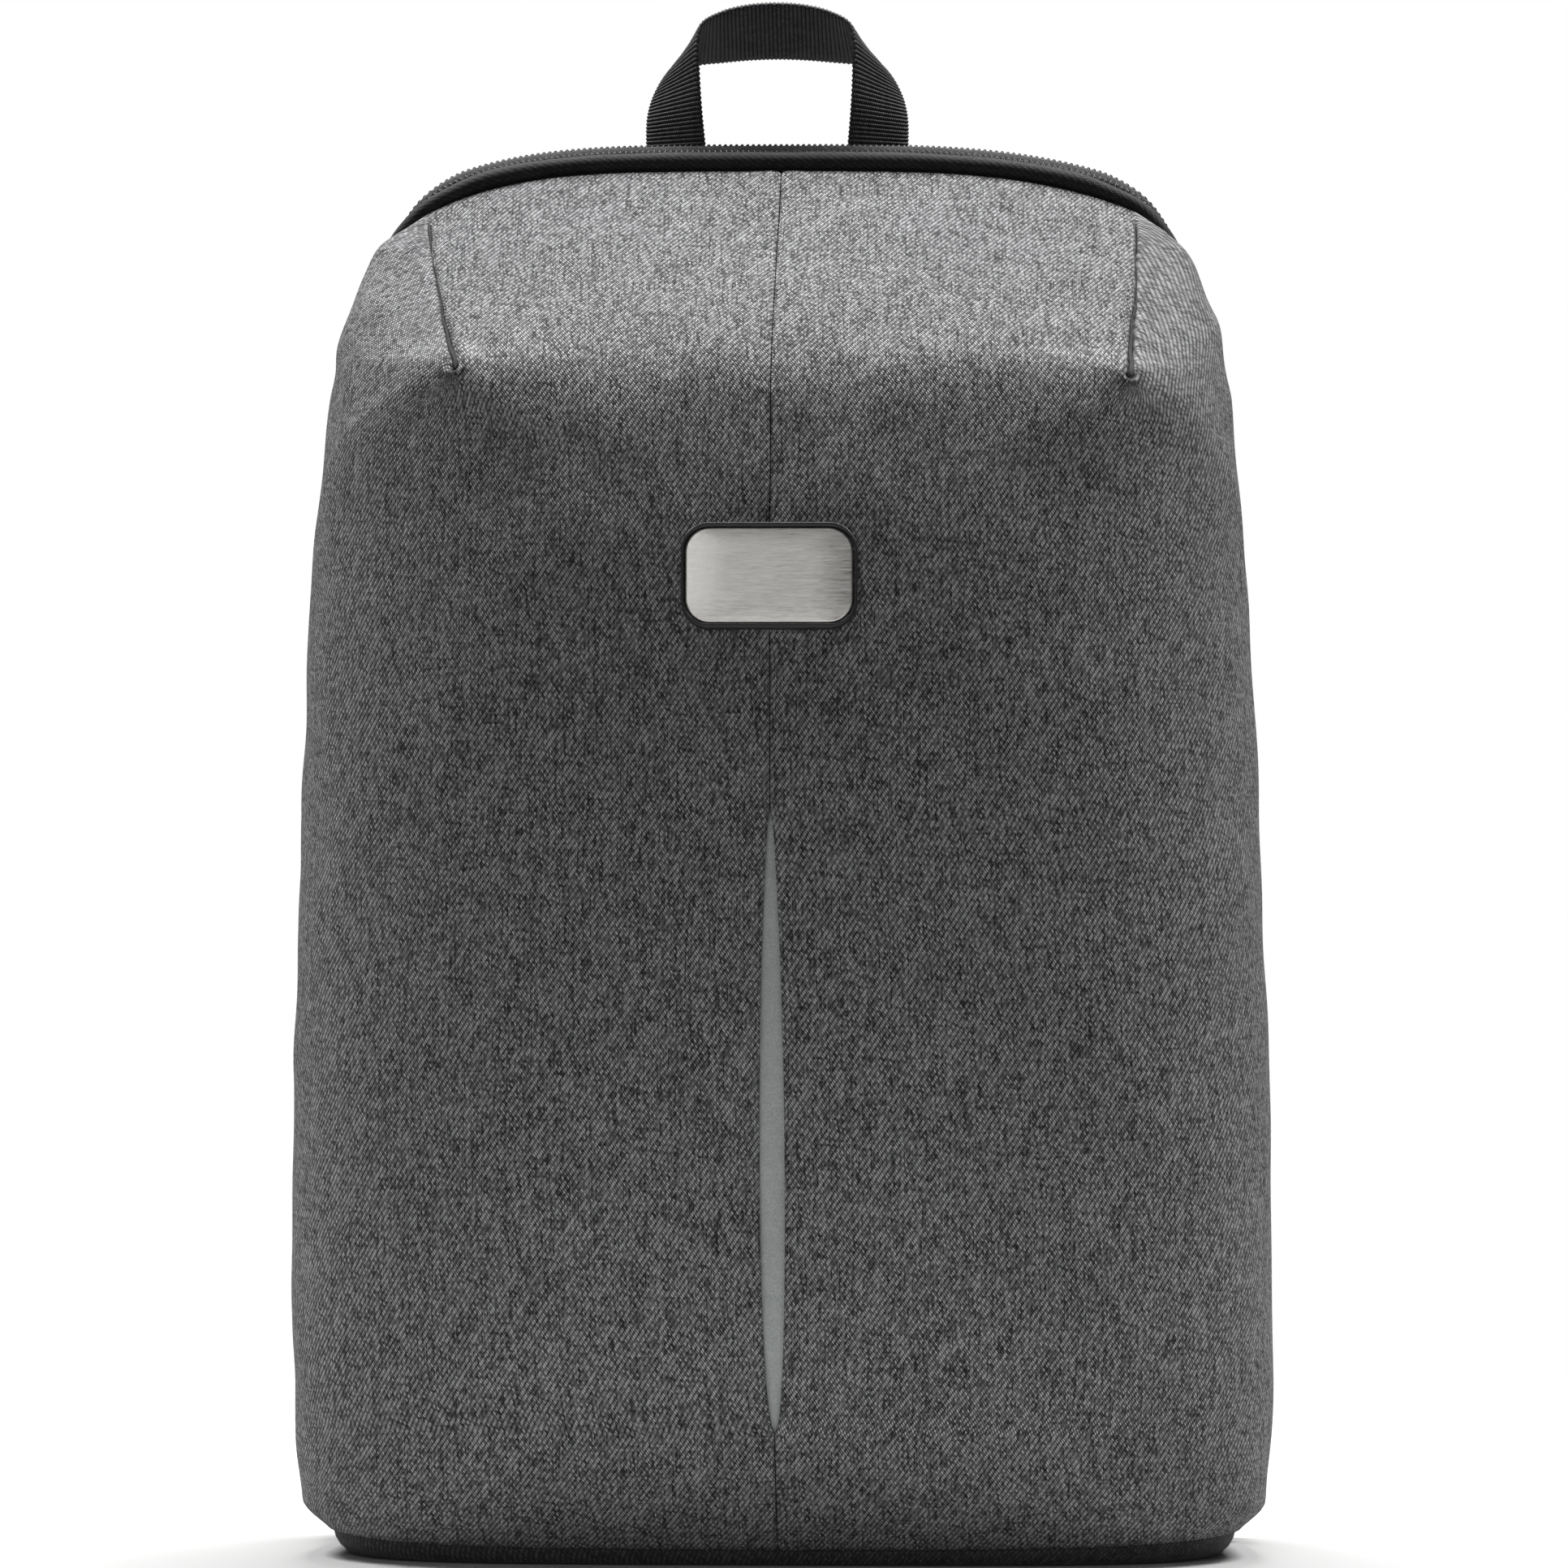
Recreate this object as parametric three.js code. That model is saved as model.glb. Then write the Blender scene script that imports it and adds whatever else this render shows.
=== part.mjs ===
// A slim backpack that stands on its base. Two grey cloth halves meet in a centre seam and make the front,
// the sides and the sloped top; a piped zip round their rim joins them to a padded back with straps and a
// handle.
// Millimetres, +Z up, the front faces -Y, and the origin is under the middle of the whole thing.
import * as THREE from "three";
import { mergeVertices } from "three/addons/utils/BufferGeometryUtils.js";

const { lerp, smoothstep } = THREE.MathUtils;
const V3 = THREE.Vector3;
const V2 = THREE.Vector2;

// Cloth and clearances
const CLOTH = 2.6; // wall of the cloth halves, twill with its lining
const GAP = 0.4; // clearance between neighbouring pieces
const LEAN = 0.006; // sideways lean of the standing bag, for each millimetre of height
const ARCH_POWER = 5.4; // how late the top edge turns down towards its corners

// The cloth front, a row for each level section from the base seam up to the zip.
// z: height at the centre seam. drop: how far the section falls from the centre to its corner.
// rim: half-width where the cloth meets the zip. corner, edge: where side and front meet, as a half-width and
// as a distance in front of the rim. mid: how far the centre seam is in front of the rim. cut: length rounded
// off the corner. bow: how far the side swells. dart: share of the half's own dart offset. steps: rows to the
// next section.
const SECTIONS = [
  { z: 4.5, drop: -3, rim: 130, corner: 133.5, edge: 78.5, mid: 84.5, cut: 36, bow: 2.5, dart: 0, steps: 2 },
  { z: 14, drop: -2, rim: 136.4, corner: 141.4, edge: 86.5, mid: 92.5, cut: 42, bow: 3, dart: 0, steps: 2 },
  { z: 34, drop: -0.5, rim: 137, corner: 141.5, edge: 94.5, mid: 101.5, cut: 47, bow: 4, dart: 0, steps: 2 },
  { z: 75, drop: 0, rim: 137.6, corner: 142, edge: 100, mid: 108.5, cut: 52, bow: 4.6, dart: 0, steps: 3 },
  { z: 140, drop: 0, rim: 137, corner: 141, edge: 101, mid: 110.5, cut: 56, bow: 4.8, dart: 0, steps: 3 },
  { z: 220, drop: 0, rim: 134.3, corner: 138, edge: 99, mid: 109, cut: 58, bow: 5.4, dart: 0, steps: 3 },
  { z: 284, drop: 0, rim: 130.7, corner: 129, edge: 93.8, mid: 102, cut: 52, bow: 8.4, dart: 0.1, steps: 2 },
  { z: 322, drop: 0.2, rim: 127.7, corner: 115, edge: 87.5, mid: 93, cut: 34, bow: 13, dart: 0.5, steps: 2 },
  { z: 342, drop: 0.6, rim: 125.7, corner: 102, edge: 82.5, mid: 86, cut: 12, bow: 18, dart: 0.9, steps: 2 },
  { z: 350, drop: 1.4, rim: 123.6, corner: 98.7, edge: 79, mid: 81.5, cut: 4, bow: 19.8, dart: 1, steps: 2 },
  { z: 358, drop: 3, rim: 121.8, corner: 99.6, edge: 68, mid: 73.5, cut: 3, bow: 20, dart: 0.84, steps: 2 },
  { z: 380, drop: 7, rim: 116.4, corner: 103, edge: 39, mid: 42.5, cut: 2.5, bow: 17, dart: 0.48, steps: 2 },
  { z: 396, drop: 9.8, rim: 111, corner: 104.6, edge: 18, mid: 20, cut: 2, bow: 12.4, dart: 0.2, steps: 3 },
  { z: 410.2, drop: 12.4, rim: 106, corner: 106, edge: 0, mid: 0, cut: 0, bow: 0, dart: 0, steps: 0 },
];
const SIDE_STEPS = 5;
const CORNER_STEPS = 4;
const FRONT_STEPS = 8;
const FRONT_EASE = 1.5; // the front's columns crowd towards the corner
const FRONT_CUT = 1.5; // the rounding reaches this many times further along the front than along the side
const DART_SWELL = 0.35; // extra swell of the side for each millimetre that its dart ends further in
// The two halves differ a little: both darts end to the right of an even place, and the right one lower down.
const HALVES = [
  { name: "left", sign: -1, dartShift: 6, dartDrop: 0 },
  { name: "right", sign: 1, dartShift: 6, dartDrop: 2.6 },
];

// Centre seam, with a lens-shaped slit that shows a strip behind it
const SEAM = 0.5;
const SLIT = { low: 39.8, high: 219, half: 3.5, lowPower: 0.5, highPower: 0.7 };
const SLIT_SHARES = [0.004, 0.03, 0.1, 0.9, 0.975, 0.997]; // extra rows where the slit's ends turn
const STRIP = { low: 29, high: 229, half: 9, thick: 1, steps: 16 };

// Badge on the seam: a frame with a thin rim, and a plate set a little deeper in it
const BADGE = { z: 286, width: 50.8, height: 31, radius: 8.2, thick: 3, standOff: 0.9 };
const BADGE_RIM = { side: 0.9, brow: 1.3, gap: 0.3, step: 0.6 };

// Zip round the rim, as a tape from the cloth's edge to the back, the coil on it and the piping in front.
// crown and side are the tape's rise over its width, at the top of the bag and along its sides.
const TAPE = { y0: 2.1, y1: 12.9, crown: 8.6, side: 2.4, thick: 1.2, crownInset: 2.5, sideInset: 0.9 };
const CROWN_ENDS = { flat: 92, gone: 120 }; // half-widths between which the rise goes from crown to side
const COIL = { y: 10, radius: 1.5, sides: 6, end: 56 };
const PIPING = { y: 2.8, radius: 2.9, sides: 8 };
const SLIDER = { z: 62, body: 11, width: 9, pull: 26, pullWidth: 6, thick: 1.6 };

// Padded back, rings from its inner face round the edge to the middle of its outer face
const BACK_INSET = 0.6;
const BACK_BOTTOM = 9.2;
const BACK_CENTRE = 210;
const BACK_RINGS = [
  { scale: 0.92, y: 13.4 },
  { scale: 0.985, y: 13.4 },
  { scale: 1, y: 14.6 },
  { scale: 1, y: 18.8 },
  { scale: 0.985, y: 21 },
  { scale: 0.94, y: 22.4 },
  { scale: 0.8, y: 23.4 },
  { scale: 0.5, y: 24 },
];

// Base, a shallow tray whose edge turns up to the cloth. lift: share of the edge's height at a ring.
const BASE_BACK = { y: 22.6, radius: 14, steps: 4 };
const BASE_RINGS = [
  { wide: 0.84, deep: 0.84, z: 4.6, lift: 0 },
  { wide: 0.95, deep: 0.94, z: 0, lift: 1 },
  { wide: 0.986, deep: 0.99, z: 0, lift: 1 },
  { wide: 0.978, deep: 0.988, z: 0, lift: 0.5 },
  { wide: 0.958, deep: 0.976, z: 0, lift: 0.16 },
  { wide: 0.925, deep: 0.955, z: 0, lift: 0 },
];

// Carry handle, one webbing loop, from its foot to the middle of its top. x, y and z with 1 are the webbing's
// front edge, those with 2 its rear edge: the legs stand flat to the front and the top turns on its edge.
const HANDLE_THICK = 1.8;
const HANDLE_SHIFT = -2; // the handle is sewn on a little left of the middle
const HANDLE_STEPS = 32;
const HANDLE = [
  { x1: 21.2, y1: 15.4, z1: 416.4, x2: 39.6, y2: 20.4, z2: 416.4 },
  { x1: 22.6, y1: 14.8, z1: 431, x2: 39.3, y2: 23.5, z2: 428.5 },
  { x1: 23.3, y1: 14.2, z1: 442.5, x2: 36.9, y2: 27.5, z2: 436.3 },
  { x1: 23.4, y1: 13.6, z1: 451, x2: 32.6, y2: 30, z2: 442.2 },
  { x1: 22, y1: 13.2, z1: 456, x2: 25.5, y2: 30, z2: 444.5 },
  { x1: 16, y1: 13, z1: 459.4, x2: 16.5, y2: 27, z2: 445.2 },
  { x1: 8, y1: 12.8, z1: 461.3, x2: 8, y2: 25, z2: 445.7 },
  { x1: 0, y1: 12.8, z1: 461.8, x2: 0, y2: 24.5, z2: 445.9 },
];

// Shoulder straps, centre line and section from the top seam to the lower end
const STRAP = [
  { z: 394, x: 42, y: 26.4, width: 54, thick: 3.6 },
  { z: 378, x: 43.5, y: 30, width: 58, thick: 6.4 },
  { z: 345, x: 48, y: 42.6, width: 62, thick: 8 },
  { z: 300, x: 56, y: 53.6, width: 62, thick: 8 },
  { z: 245, x: 66, y: 56.6, width: 58, thick: 8 },
  { z: 195, x: 76, y: 51.6, width: 50, thick: 7.6 },
  { z: 162, x: 82.5, y: 45.6, width: 34, thick: 6 },
];
const STRAP_STEPS = 16;
const STRAP_SIDES = 10;
// Adjuster at the strap's lower end: bars across a frame, the first for the tab and the third for the webbing
const ADJUSTER = { width: 32, inside: 23, thick: 3, bar: 3, slot: 4.6, bars: 4 };
const WEBBING = { width: 20, thick: 1.6, tail: 46, sewn: 16 };
const WEBBING_FOOT = { x: 108, y: 24.8, z: 40 };

// A smooth curve through one column of a table. A row's slope is the harmonic mean of the rises beside it.
function column(table, name) {
  const last = table.length - 1;
  const rise = (i) => (table[i + 1][name] - table[i][name]) / (table[i + 1].z - table[i].z);
  const slope = (i) => {
    if (i === 0) return rise(0);
    if (i === last) return rise(last - 1);
    const product = rise(i - 1) * rise(i);
    return product > 0 ? (2 * product) / (rise(i - 1) + rise(i)) : 0;
  };
  return (z) => {
    const above = table.findIndex((row) => row.z >= z);
    const i = THREE.MathUtils.clamp((above < 0 ? last : above) - 1, 0, last - 1);
    const h = table[i + 1].z - table[i].z;
    const t = THREE.MathUtils.clamp((z - table[i].z) / h, 0, 1);
    const a = table[i][name] * (1 + 2 * t) * (1 - t) ** 2 + table[i + 1][name] * t * t * (3 - 2 * t);
    return a + h * t * (1 - t) * (slope(i) * (1 - t) - slope(i + 1) * t);
  };
}
const at = {};
for (const name of Object.keys(SECTIONS[0])) at[name] = column(SECTIONS, name);

// Half the slit's width at a height
function slitHalf(z) {
  const t = (z - SLIT.low) / (SLIT.high - SLIT.low);
  if (t <= 0 || t >= 1) return 0;
  const peak = SLIT.lowPower / (SLIT.lowPower + SLIT.highPower);
  const most = peak ** SLIT.lowPower * (1 - peak) ** SLIT.highPower;
  return (SLIT.half * t ** SLIT.lowPower * (1 - t) ** SLIT.highPower) / most;
}

// Distance of the front from the rim, at a height and a half-width
const frontDepth = (z, x) => at.mid(z) - (at.mid(z) - at.edge(z)) * (x / at.corner(z)) ** 2;

// One level section of a half, as points from the rim round the corner to the centre seam
function section(half, z) {
  const lean = half.dartShift * half.sign * at.dart(z);
  const drop = at.drop(z) + half.dartDrop * at.dart(z);
  const corner = new V2(at.corner(z) + lean, at.edge(z));
  const rim = new V2(at.rim(z), 0);
  const chord = corner.clone().sub(rim);
  const length = Math.max(chord.length(), 1e-6);
  const outward = new V2(chord.y, -chord.x).divideScalar(length);
  const cut = Math.min(at.cut(z), 0.6 * length);
  const front = (x) => new V2(x, at.mid(z) - (at.mid(z) - at.edge(z)) * (x / corner.x) ** 2);
  const side = (t) => {
    const swell = 4 * (at.bow(z) - DART_SWELL * lean) * t * (1 - t);
    return rim.clone().addScaledVector(chord, t).addScaledVector(outward, swell);
  };
  const tangent = 1 - cut / length;
  const start = corner.x - FRONT_CUT * cut;
  const round = new THREE.QuadraticBezierCurve(side(tangent), corner, front(start));
  const plan = [];
  for (let i = 0; i <= SIDE_STEPS; i += 1) plan.push(side((tangent * i) / SIDE_STEPS));
  for (let i = 1; i <= CORNER_STEPS; i += 1) plan.push(round.getPoint(i / CORNER_STEPS));
  const inner = SEAM / 2 + slitHalf(z);
  for (let i = 1; i <= FRONT_STEPS; i += 1) {
    plan.push(front(lerp(start, inner, (i / FRONT_STEPS) ** FRONT_EASE)));
  }
  return plan.map((p, i) => {
    const fall = i <= SIDE_STEPS ? 1 : Math.min(1, p.x / corner.x) ** ARCH_POWER;
    return new V3(half.sign * p.x, -p.y, z - drop * fall);
  });
}

// The heights of the mesh rows
function rowHeights() {
  const heights = SLIT_SHARES.map((share) => lerp(SLIT.low, SLIT.high, share));
  SECTIONS.forEach((row, i) => {
    for (let k = 0; k < row.steps; k += 1) heights.push(lerp(row.z, SECTIONS[i + 1].z, k / row.steps));
  });
  heights.push(SECTIONS[SECTIONS.length - 1].z);
  return heights.sort((a, b) => a - b);
}

// A closed body: double points merged, collapsed triangles dropped, faces turned outwards
function body(points, triangles) {
  const raw = new THREE.BufferGeometry().setFromPoints(points);
  raw.setIndex(triangles.flat());
  const merged = mergeVertices(raw, 1e-3);
  const corner = (i) => new V3().fromBufferAttribute(merged.attributes.position, i);
  const kept = [];
  let volume = 0;
  for (let i = 0; i < merged.index.count; i += 3) {
    const [a, b, c] = [0, 1, 2].map((k) => merged.index.getX(i + k));
    if (a === b || b === c || c === a) continue;
    kept.push([a, b, c]);
    volume += corner(a).dot(corner(b).cross(corner(c)));
  }
  merged.setIndex(kept.flatMap(([a, b, c]) => (volume > 0 ? [a, b, c] : [a, c, b])));
  merged.computeVertexNormals();
  return merged;
}

// Two triangles for each cell of a grid whose rows are lists of point numbers
function cells(rows) {
  const out = [];
  for (let i = 0; i + 1 < rows.length; i += 1) {
    for (let j = 0; j + 1 < rows[i].length; j += 1) {
      const [a, b, c, d] = [rows[i][j], rows[i][j + 1], rows[i + 1][j + 1], rows[i + 1][j]];
      out.push([a, b, c], [a, c, d]);
    }
  }
  return out;
}

// A wall of even thickness behind a grid of surface points; inside is a point on its hollow side
function wall(grid, thick, inside) {
  const rows = grid.length;
  const cols = grid[0].length;
  const pick = (i, j) => grid[Math.min(Math.max(i, 0), rows - 1)][Math.min(Math.max(j, 0), cols - 1)];
  const normal = (i, j) => {
    const across = pick(i, j + 1).clone().sub(pick(i, j - 1));
    const along = pick(i + 1, j).clone().sub(pick(i - 1, j));
    const n = across.cross(along);
    if (n.length() < 1e-3) return normal(i, j + 1);
    return n.multiplyScalar(Math.sign(n.dot(pick(i, j).clone().sub(inside)))).normalize();
  };
  const outer = grid.flat();
  const inner = grid.flatMap((row, i) => row.map((p, j) => p.clone().addScaledVector(normal(i, j), -thick)));
  const number = grid.map((row, i) => row.map((p, j) => i * cols + j));
  const far = (k) => k + rows * cols;
  const loop = [
    ...number[0].slice(0, -1),
    ...number.slice(0, -1).map((row) => row[cols - 1]),
    ...number[rows - 1].slice(1).reverse(),
    ...number.slice(1).map((row) => row[0]).reverse(),
  ];
  const edge = loop.flatMap((a, k) => {
    const b = loop[(k + 1) % loop.length];
    return [[b, a, far(a)], [b, far(a), far(b)]];
  });
  const back = cells(number).map(([a, b, c]) => [far(a), far(c), far(b)]);
  return body([...outer, ...inner], [...cells(number), ...back, ...edge]);
}

// A closed skin over rings of equally many points, with both ends capped from their middles
function skin(rings) {
  const n = rings[0].length;
  const rows = rings.map((ring, i) => [...ring.map((p, j) => i * n + j), i * n]);
  const points = rings.flat();
  const cap = (row, turn) => {
    const middle = new V3();
    for (let j = 0; j < n; j += 1) middle.addScaledVector(points[row[j]], 1 / n);
    points.push(middle);
    const hub = points.length - 1;
    return row.slice(0, n).map((a, j) => (turn ? [hub, row[j + 1], a] : [hub, a, row[j + 1]]));
  };
  return body(points, [...cap(rows[0], true), ...cells(rows), ...cap(rows[rows.length - 1], false)]);
}

// A flat band along a line: across gives the direction of its width at each point
function band(line, across, width, thick) {
  return skin(line.map((p, i) => {
    const ahead = line[Math.min(i + 1, line.length - 1)];
    const tangent = ahead.clone().sub(line[Math.max(i - 1, 0)]).normalize();
    const wide = across.clone().addScaledVector(tangent, -across.dot(tangent)).normalize();
    const up = tangent.clone().cross(wide);
    wide.multiplyScalar(width / 2);
    up.multiplyScalar(thick / 2);
    const point = (u, v) => p.clone().addScaledVector(wide, u).addScaledVector(up, v);
    return [point(-1, -1), point(1, -1), point(1, 1), point(-1, 1)];
  }));
}

// A rounded rectangle about the middle
function roundedRect(width, height, radius) {
  const [x, y] = [width / 2 - radius, height / 2 - radius];
  const shape = new THREE.Shape();
  shape.absarc(x, y, radius, 0, Math.PI / 2);
  shape.absarc(-x, y, radius, Math.PI / 2, Math.PI);
  shape.absarc(-x, -y, radius, Math.PI, 1.5 * Math.PI);
  shape.absarc(x, -y, radius, 1.5 * Math.PI, 2 * Math.PI);
  shape.closePath();
  return shape;
}

const bag = new THREE.Group();
bag.name = "backpack";
const COLOURS = {
  grey_twill: 0x77787a,
  reflective: 0x9aa09f,
  black_twill: 0x1c1c1d,
  black_webbing: 0x202021,
  black_mesh: 0x232324,
  black_plastic: 0x18181a,
  brushed_metal: 0xb4b2ad,
  dark_metal: 0x2c2c2e,
};
function add(name, colour, geometry, parent = bag) {
  const hard = colour.endsWith("metal");
  const material = new THREE.MeshStandardMaterial({ color: COLOURS[colour], roughness: hard ? 0.35 : 0.85 });
  material.metalness = hard ? 1 : 0;
  material.name = colour;
  const mesh = new THREE.Mesh(geometry, material);
  mesh.name = name;
  parent.add(mesh);
  return mesh;
}

// Cloth halves
const heights = rowHeights();
const grids = HALVES.map((half) => heights.map((z) => section(half, z)));
HALVES.forEach((half, k) => {
  add(`front_panel_${half.name}`, "grey_twill", wall(grids[k], CLOTH, new V3(0, -20, 200)));
});

// Strip behind the slit
const stripLine = [];
for (let i = 0; i <= STRIP.steps; i += 1) {
  const z = lerp(STRIP.low, STRIP.high, i / STRIP.steps);
  const back = CLOTH + GAP + 0.4 + STRIP.thick / 2;
  stripLine.push(new V3(0, back - frontDepth(z, 0), z));
}
add("reflective_strip", "reflective", band(stripLine, new V3(1, 0, 0), 2 * STRIP.half, STRIP.thick));

// Badge, lying on the front's slope
const slope = Math.atan2(at.mid(BADGE.z - 15) - at.mid(BADGE.z + 15), 30);
const badge = new THREE.Group();
badge.name = "badge";
badge.position.set(0, -frontDepth(BADGE.z, 0), BADGE.z);
badge.rotation.x = Math.PI / 2 - slope;
bag.add(badge);
const frameShape = roundedRect(BADGE.width, BADGE.height, BADGE.radius);
const inset = (gap) => roundedRect(
  BADGE.width - 2 * (BADGE_RIM.side + gap),
  BADGE.height - 2 * (BADGE_RIM.brow + gap),
  BADGE.radius - BADGE_RIM.side - gap,
);
frameShape.holes.push(inset(0));
const slab = (shape, depth) => {
  const options = { depth, bevelEnabled: false, curveSegments: 4 };
  return new THREE.ExtrudeGeometry(shape, options).translate(0, 0, BADGE.standOff);
};
add("badge_frame", "black_plastic", slab(frameShape, BADGE.thick), badge);
add("badge_plate", "brushed_metal", slab(inset(BADGE_RIM.gap), BADGE.thick - BADGE_RIM.step), badge);

// The rim as one line, from the left foot over the top to the right foot
const top = heights.length - 1;
const arch = (grid) => grid[top].slice(SIDE_STEPS + CORNER_STEPS + 1);
const rimLine = [
  ...grids[0].slice(0, -1).map((row) => row[0]),
  grids[0][top][0],
  ...arch(grids[0]).slice(0, -1),
  new V3(0, 0, at.z(SECTIONS[SECTIONS.length - 1].z)),
  ...arch(grids[1]).slice(0, -1).reverse(),
  grids[1][top][0],
  ...grids[1].slice(0, -1).map((row) => row[0]).reverse(),
].filter((p) => p.z > BACK_BOTTOM);
const rimOutward = rimLine.map((p, i) => {
  const ahead = rimLine[Math.min(i + 1, rimLine.length - 1)];
  const tangent = ahead.clone().sub(rimLine[Math.max(i - 1, 0)]);
  return new V3(-tangent.z, 0, tangent.x).normalize();
});
const crownShare = (i) => 1 - smoothstep(Math.abs(rimLine[i].x), CROWN_ENDS.flat, CROWN_ENDS.gone);
const tapeRise = (i) => lerp(TAPE.side, TAPE.crown, crownShare(i));
// A point beside the rim: y behind it, and out from it in the plane of the rim
const beside = (i, y, out) => rimLine[i].clone().addScaledVector(rimOutward[i], out).setY(y);
const tapeOut = (i, y) => {
  const inset = lerp(TAPE.sideInset, TAPE.crownInset, crownShare(i));
  return (tapeRise(i) * (y - TAPE.y0)) / (TAPE.y1 - TAPE.y0) - inset;
};
const stretch = (i) => Math.hypot(1, tapeRise(i) / (TAPE.y1 - TAPE.y0));

// Zip tape
add("zip_tape", "black_twill", skin(rimLine.map((p, i) => {
  const half = (TAPE.thick / 2) * stretch(i);
  const corner = (y, v) => beside(i, y, tapeOut(i, y) + v * half);
  return [corner(TAPE.y0, -1), corner(TAPE.y1, -1), corner(TAPE.y1, 1), corner(TAPE.y0, 1)];
})));

// A round section that rides on the tape
function onTape(y, radius, sides, wanted) {
  const rings = [];
  rimLine.forEach((p, i) => {
    if (!wanted(p)) return;
    const out = tapeOut(i, y) + (TAPE.thick / 2 + GAP + radius) * stretch(i);
    const ring = [];
    for (let k = 0; k < sides; k += 1) {
      const angle = (2 * Math.PI * k) / sides;
      ring.push(beside(i, y + radius * Math.cos(angle), out + radius * Math.sin(angle)));
    }
    rings.push(ring);
  });
  return skin(rings);
}
add("edge_piping", "black_twill", onTape(PIPING.y, PIPING.radius, PIPING.sides, () => true));
add("zip_coil", "black_plastic", onTape(COIL.y, COIL.radius, COIL.sides, (p) => p.z > COIL.end));

// Zip slider with its pull, at the lower end of the coil on the left
const sliderShape = new THREE.Shape([
  new V2(-SLIDER.width / 2, SLIDER.body),
  new V2(-SLIDER.width / 2, 0),
  new V2(-SLIDER.pullWidth / 2, -3),
  new V2(-SLIDER.pullWidth / 2, -SLIDER.pull),
  new V2(SLIDER.pullWidth / 2, -SLIDER.pull),
  new V2(SLIDER.pullWidth / 2, -3),
  new V2(SLIDER.width / 2, 0),
  new V2(SLIDER.width / 2, SLIDER.body),
]);
const sliderBody = new THREE.ExtrudeGeometry(sliderShape, { depth: SLIDER.thick, bevelEnabled: false });
const slider = add("zip_slider", "dark_metal", sliderBody);
const sliderRow = rimLine.findIndex((p) => p.z > SLIDER.z);
const sliderUp = new V3(0, 1, 0).cross(rimOutward[sliderRow]).negate();
const sliderBasis = new THREE.Matrix4();
sliderBasis.makeBasis(sliderUp.clone().cross(rimOutward[sliderRow]), sliderUp, rimOutward[sliderRow]);
slider.quaternion.setFromRotationMatrix(sliderBasis);
const coilTop = tapeOut(sliderRow, COIL.y) + (TAPE.thick / 2 + GAP) * stretch(sliderRow) + 2 * COIL.radius;
slider.position.copy(beside(sliderRow, COIL.y, coilTop + GAP));

// Padded back
const backEdge = rimLine.map((p, i) => beside(i, 0, tapeOut(i, TAPE.y1) - BACK_INSET));
const backOutline = backEdge.filter((p, i) => i % 2 === 0);
backOutline[0].setZ(BACK_BOTTOM + 4);
backOutline[backOutline.length - 1].setZ(BACK_BOTTOM + 4);
for (const share of [0.97, 0.5, 0, -0.5, -0.97]) {
  backOutline.push(new V3(-share * backOutline[0].x, 0, BACK_BOTTOM));
}
add("back_panel", "black_mesh", skin(BACK_RINGS.map((ring) => backOutline.map((p) => {
  return new V3(p.x * ring.scale, ring.y, BACK_CENTRE + (p.z - BACK_CENTRE) * ring.scale);
}))));

// Base, following the cloth's lower seam and closed across the back
const seamLoop = grids[1][0].slice().reverse();
const backCorner = [];
for (let i = 0; i <= BASE_BACK.steps; i += 1) {
  const angle = (i / BASE_BACK.steps) * (Math.PI / 2);
  const x = seamLoop[seamLoop.length - 1].x - BASE_BACK.radius * (1 - Math.cos(angle));
  const y = BASE_BACK.y - BASE_BACK.radius * (1 - Math.sin(angle));
  backCorner.push(new V3(x, y, seamLoop[seamLoop.length - 1].z));
}
const rightHalf = [...seamLoop, ...backCorner];
const baseLoop = [...rightHalf, ...rightHalf.slice().reverse().map((p) => new V3(-p.x, p.y, p.z))];
const baseMiddle = (BASE_BACK.y - at.mid(SECTIONS[0].z)) / 2;
add("base_panel", "black_twill", skin(BASE_RINGS.map((ring) => baseLoop.map((p) => {
  const y = baseMiddle + (p.y - baseMiddle) * ring.deep;
  return new V3(p.x * ring.wide, y, ring.z + ring.lift * (p.z - GAP - 0.1));
}))));

// Carry handle
const edgeCurve = (n) => {
  const half = HANDLE.map((row) => new V3(row[`x${n}`], row[`y${n}`], row[`z${n}`]));
  const other = half.slice(0, -1).reverse().map((p) => new V3(-p.x, p.y, p.z));
  const points = [...half, ...other].map((p) => p.setX(p.x + HANDLE_SHIFT));
  return new THREE.CatmullRomCurve3(points, false, "centripetal");
};
const [frontEdge, rearEdge] = [edgeCurve(1), edgeCurve(2)];
const handleRings = [];
for (let i = 0; i <= HANDLE_STEPS; i += 1) {
  const t = i / HANDLE_STEPS;
  const [a, b] = [frontEdge.getPoint(t), rearEdge.getPoint(t)];
  const along = frontEdge.getTangent(t).add(rearEdge.getTangent(t));
  const out = along.cross(b.clone().sub(a)).setLength(HANDLE_THICK / 2);
  handleRings.push([a.clone().sub(out), b.clone().sub(out), b.clone().add(out), a.clone().add(out)]);
}
add("carry_handle", "black_webbing", skin(handleRings));

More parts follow.
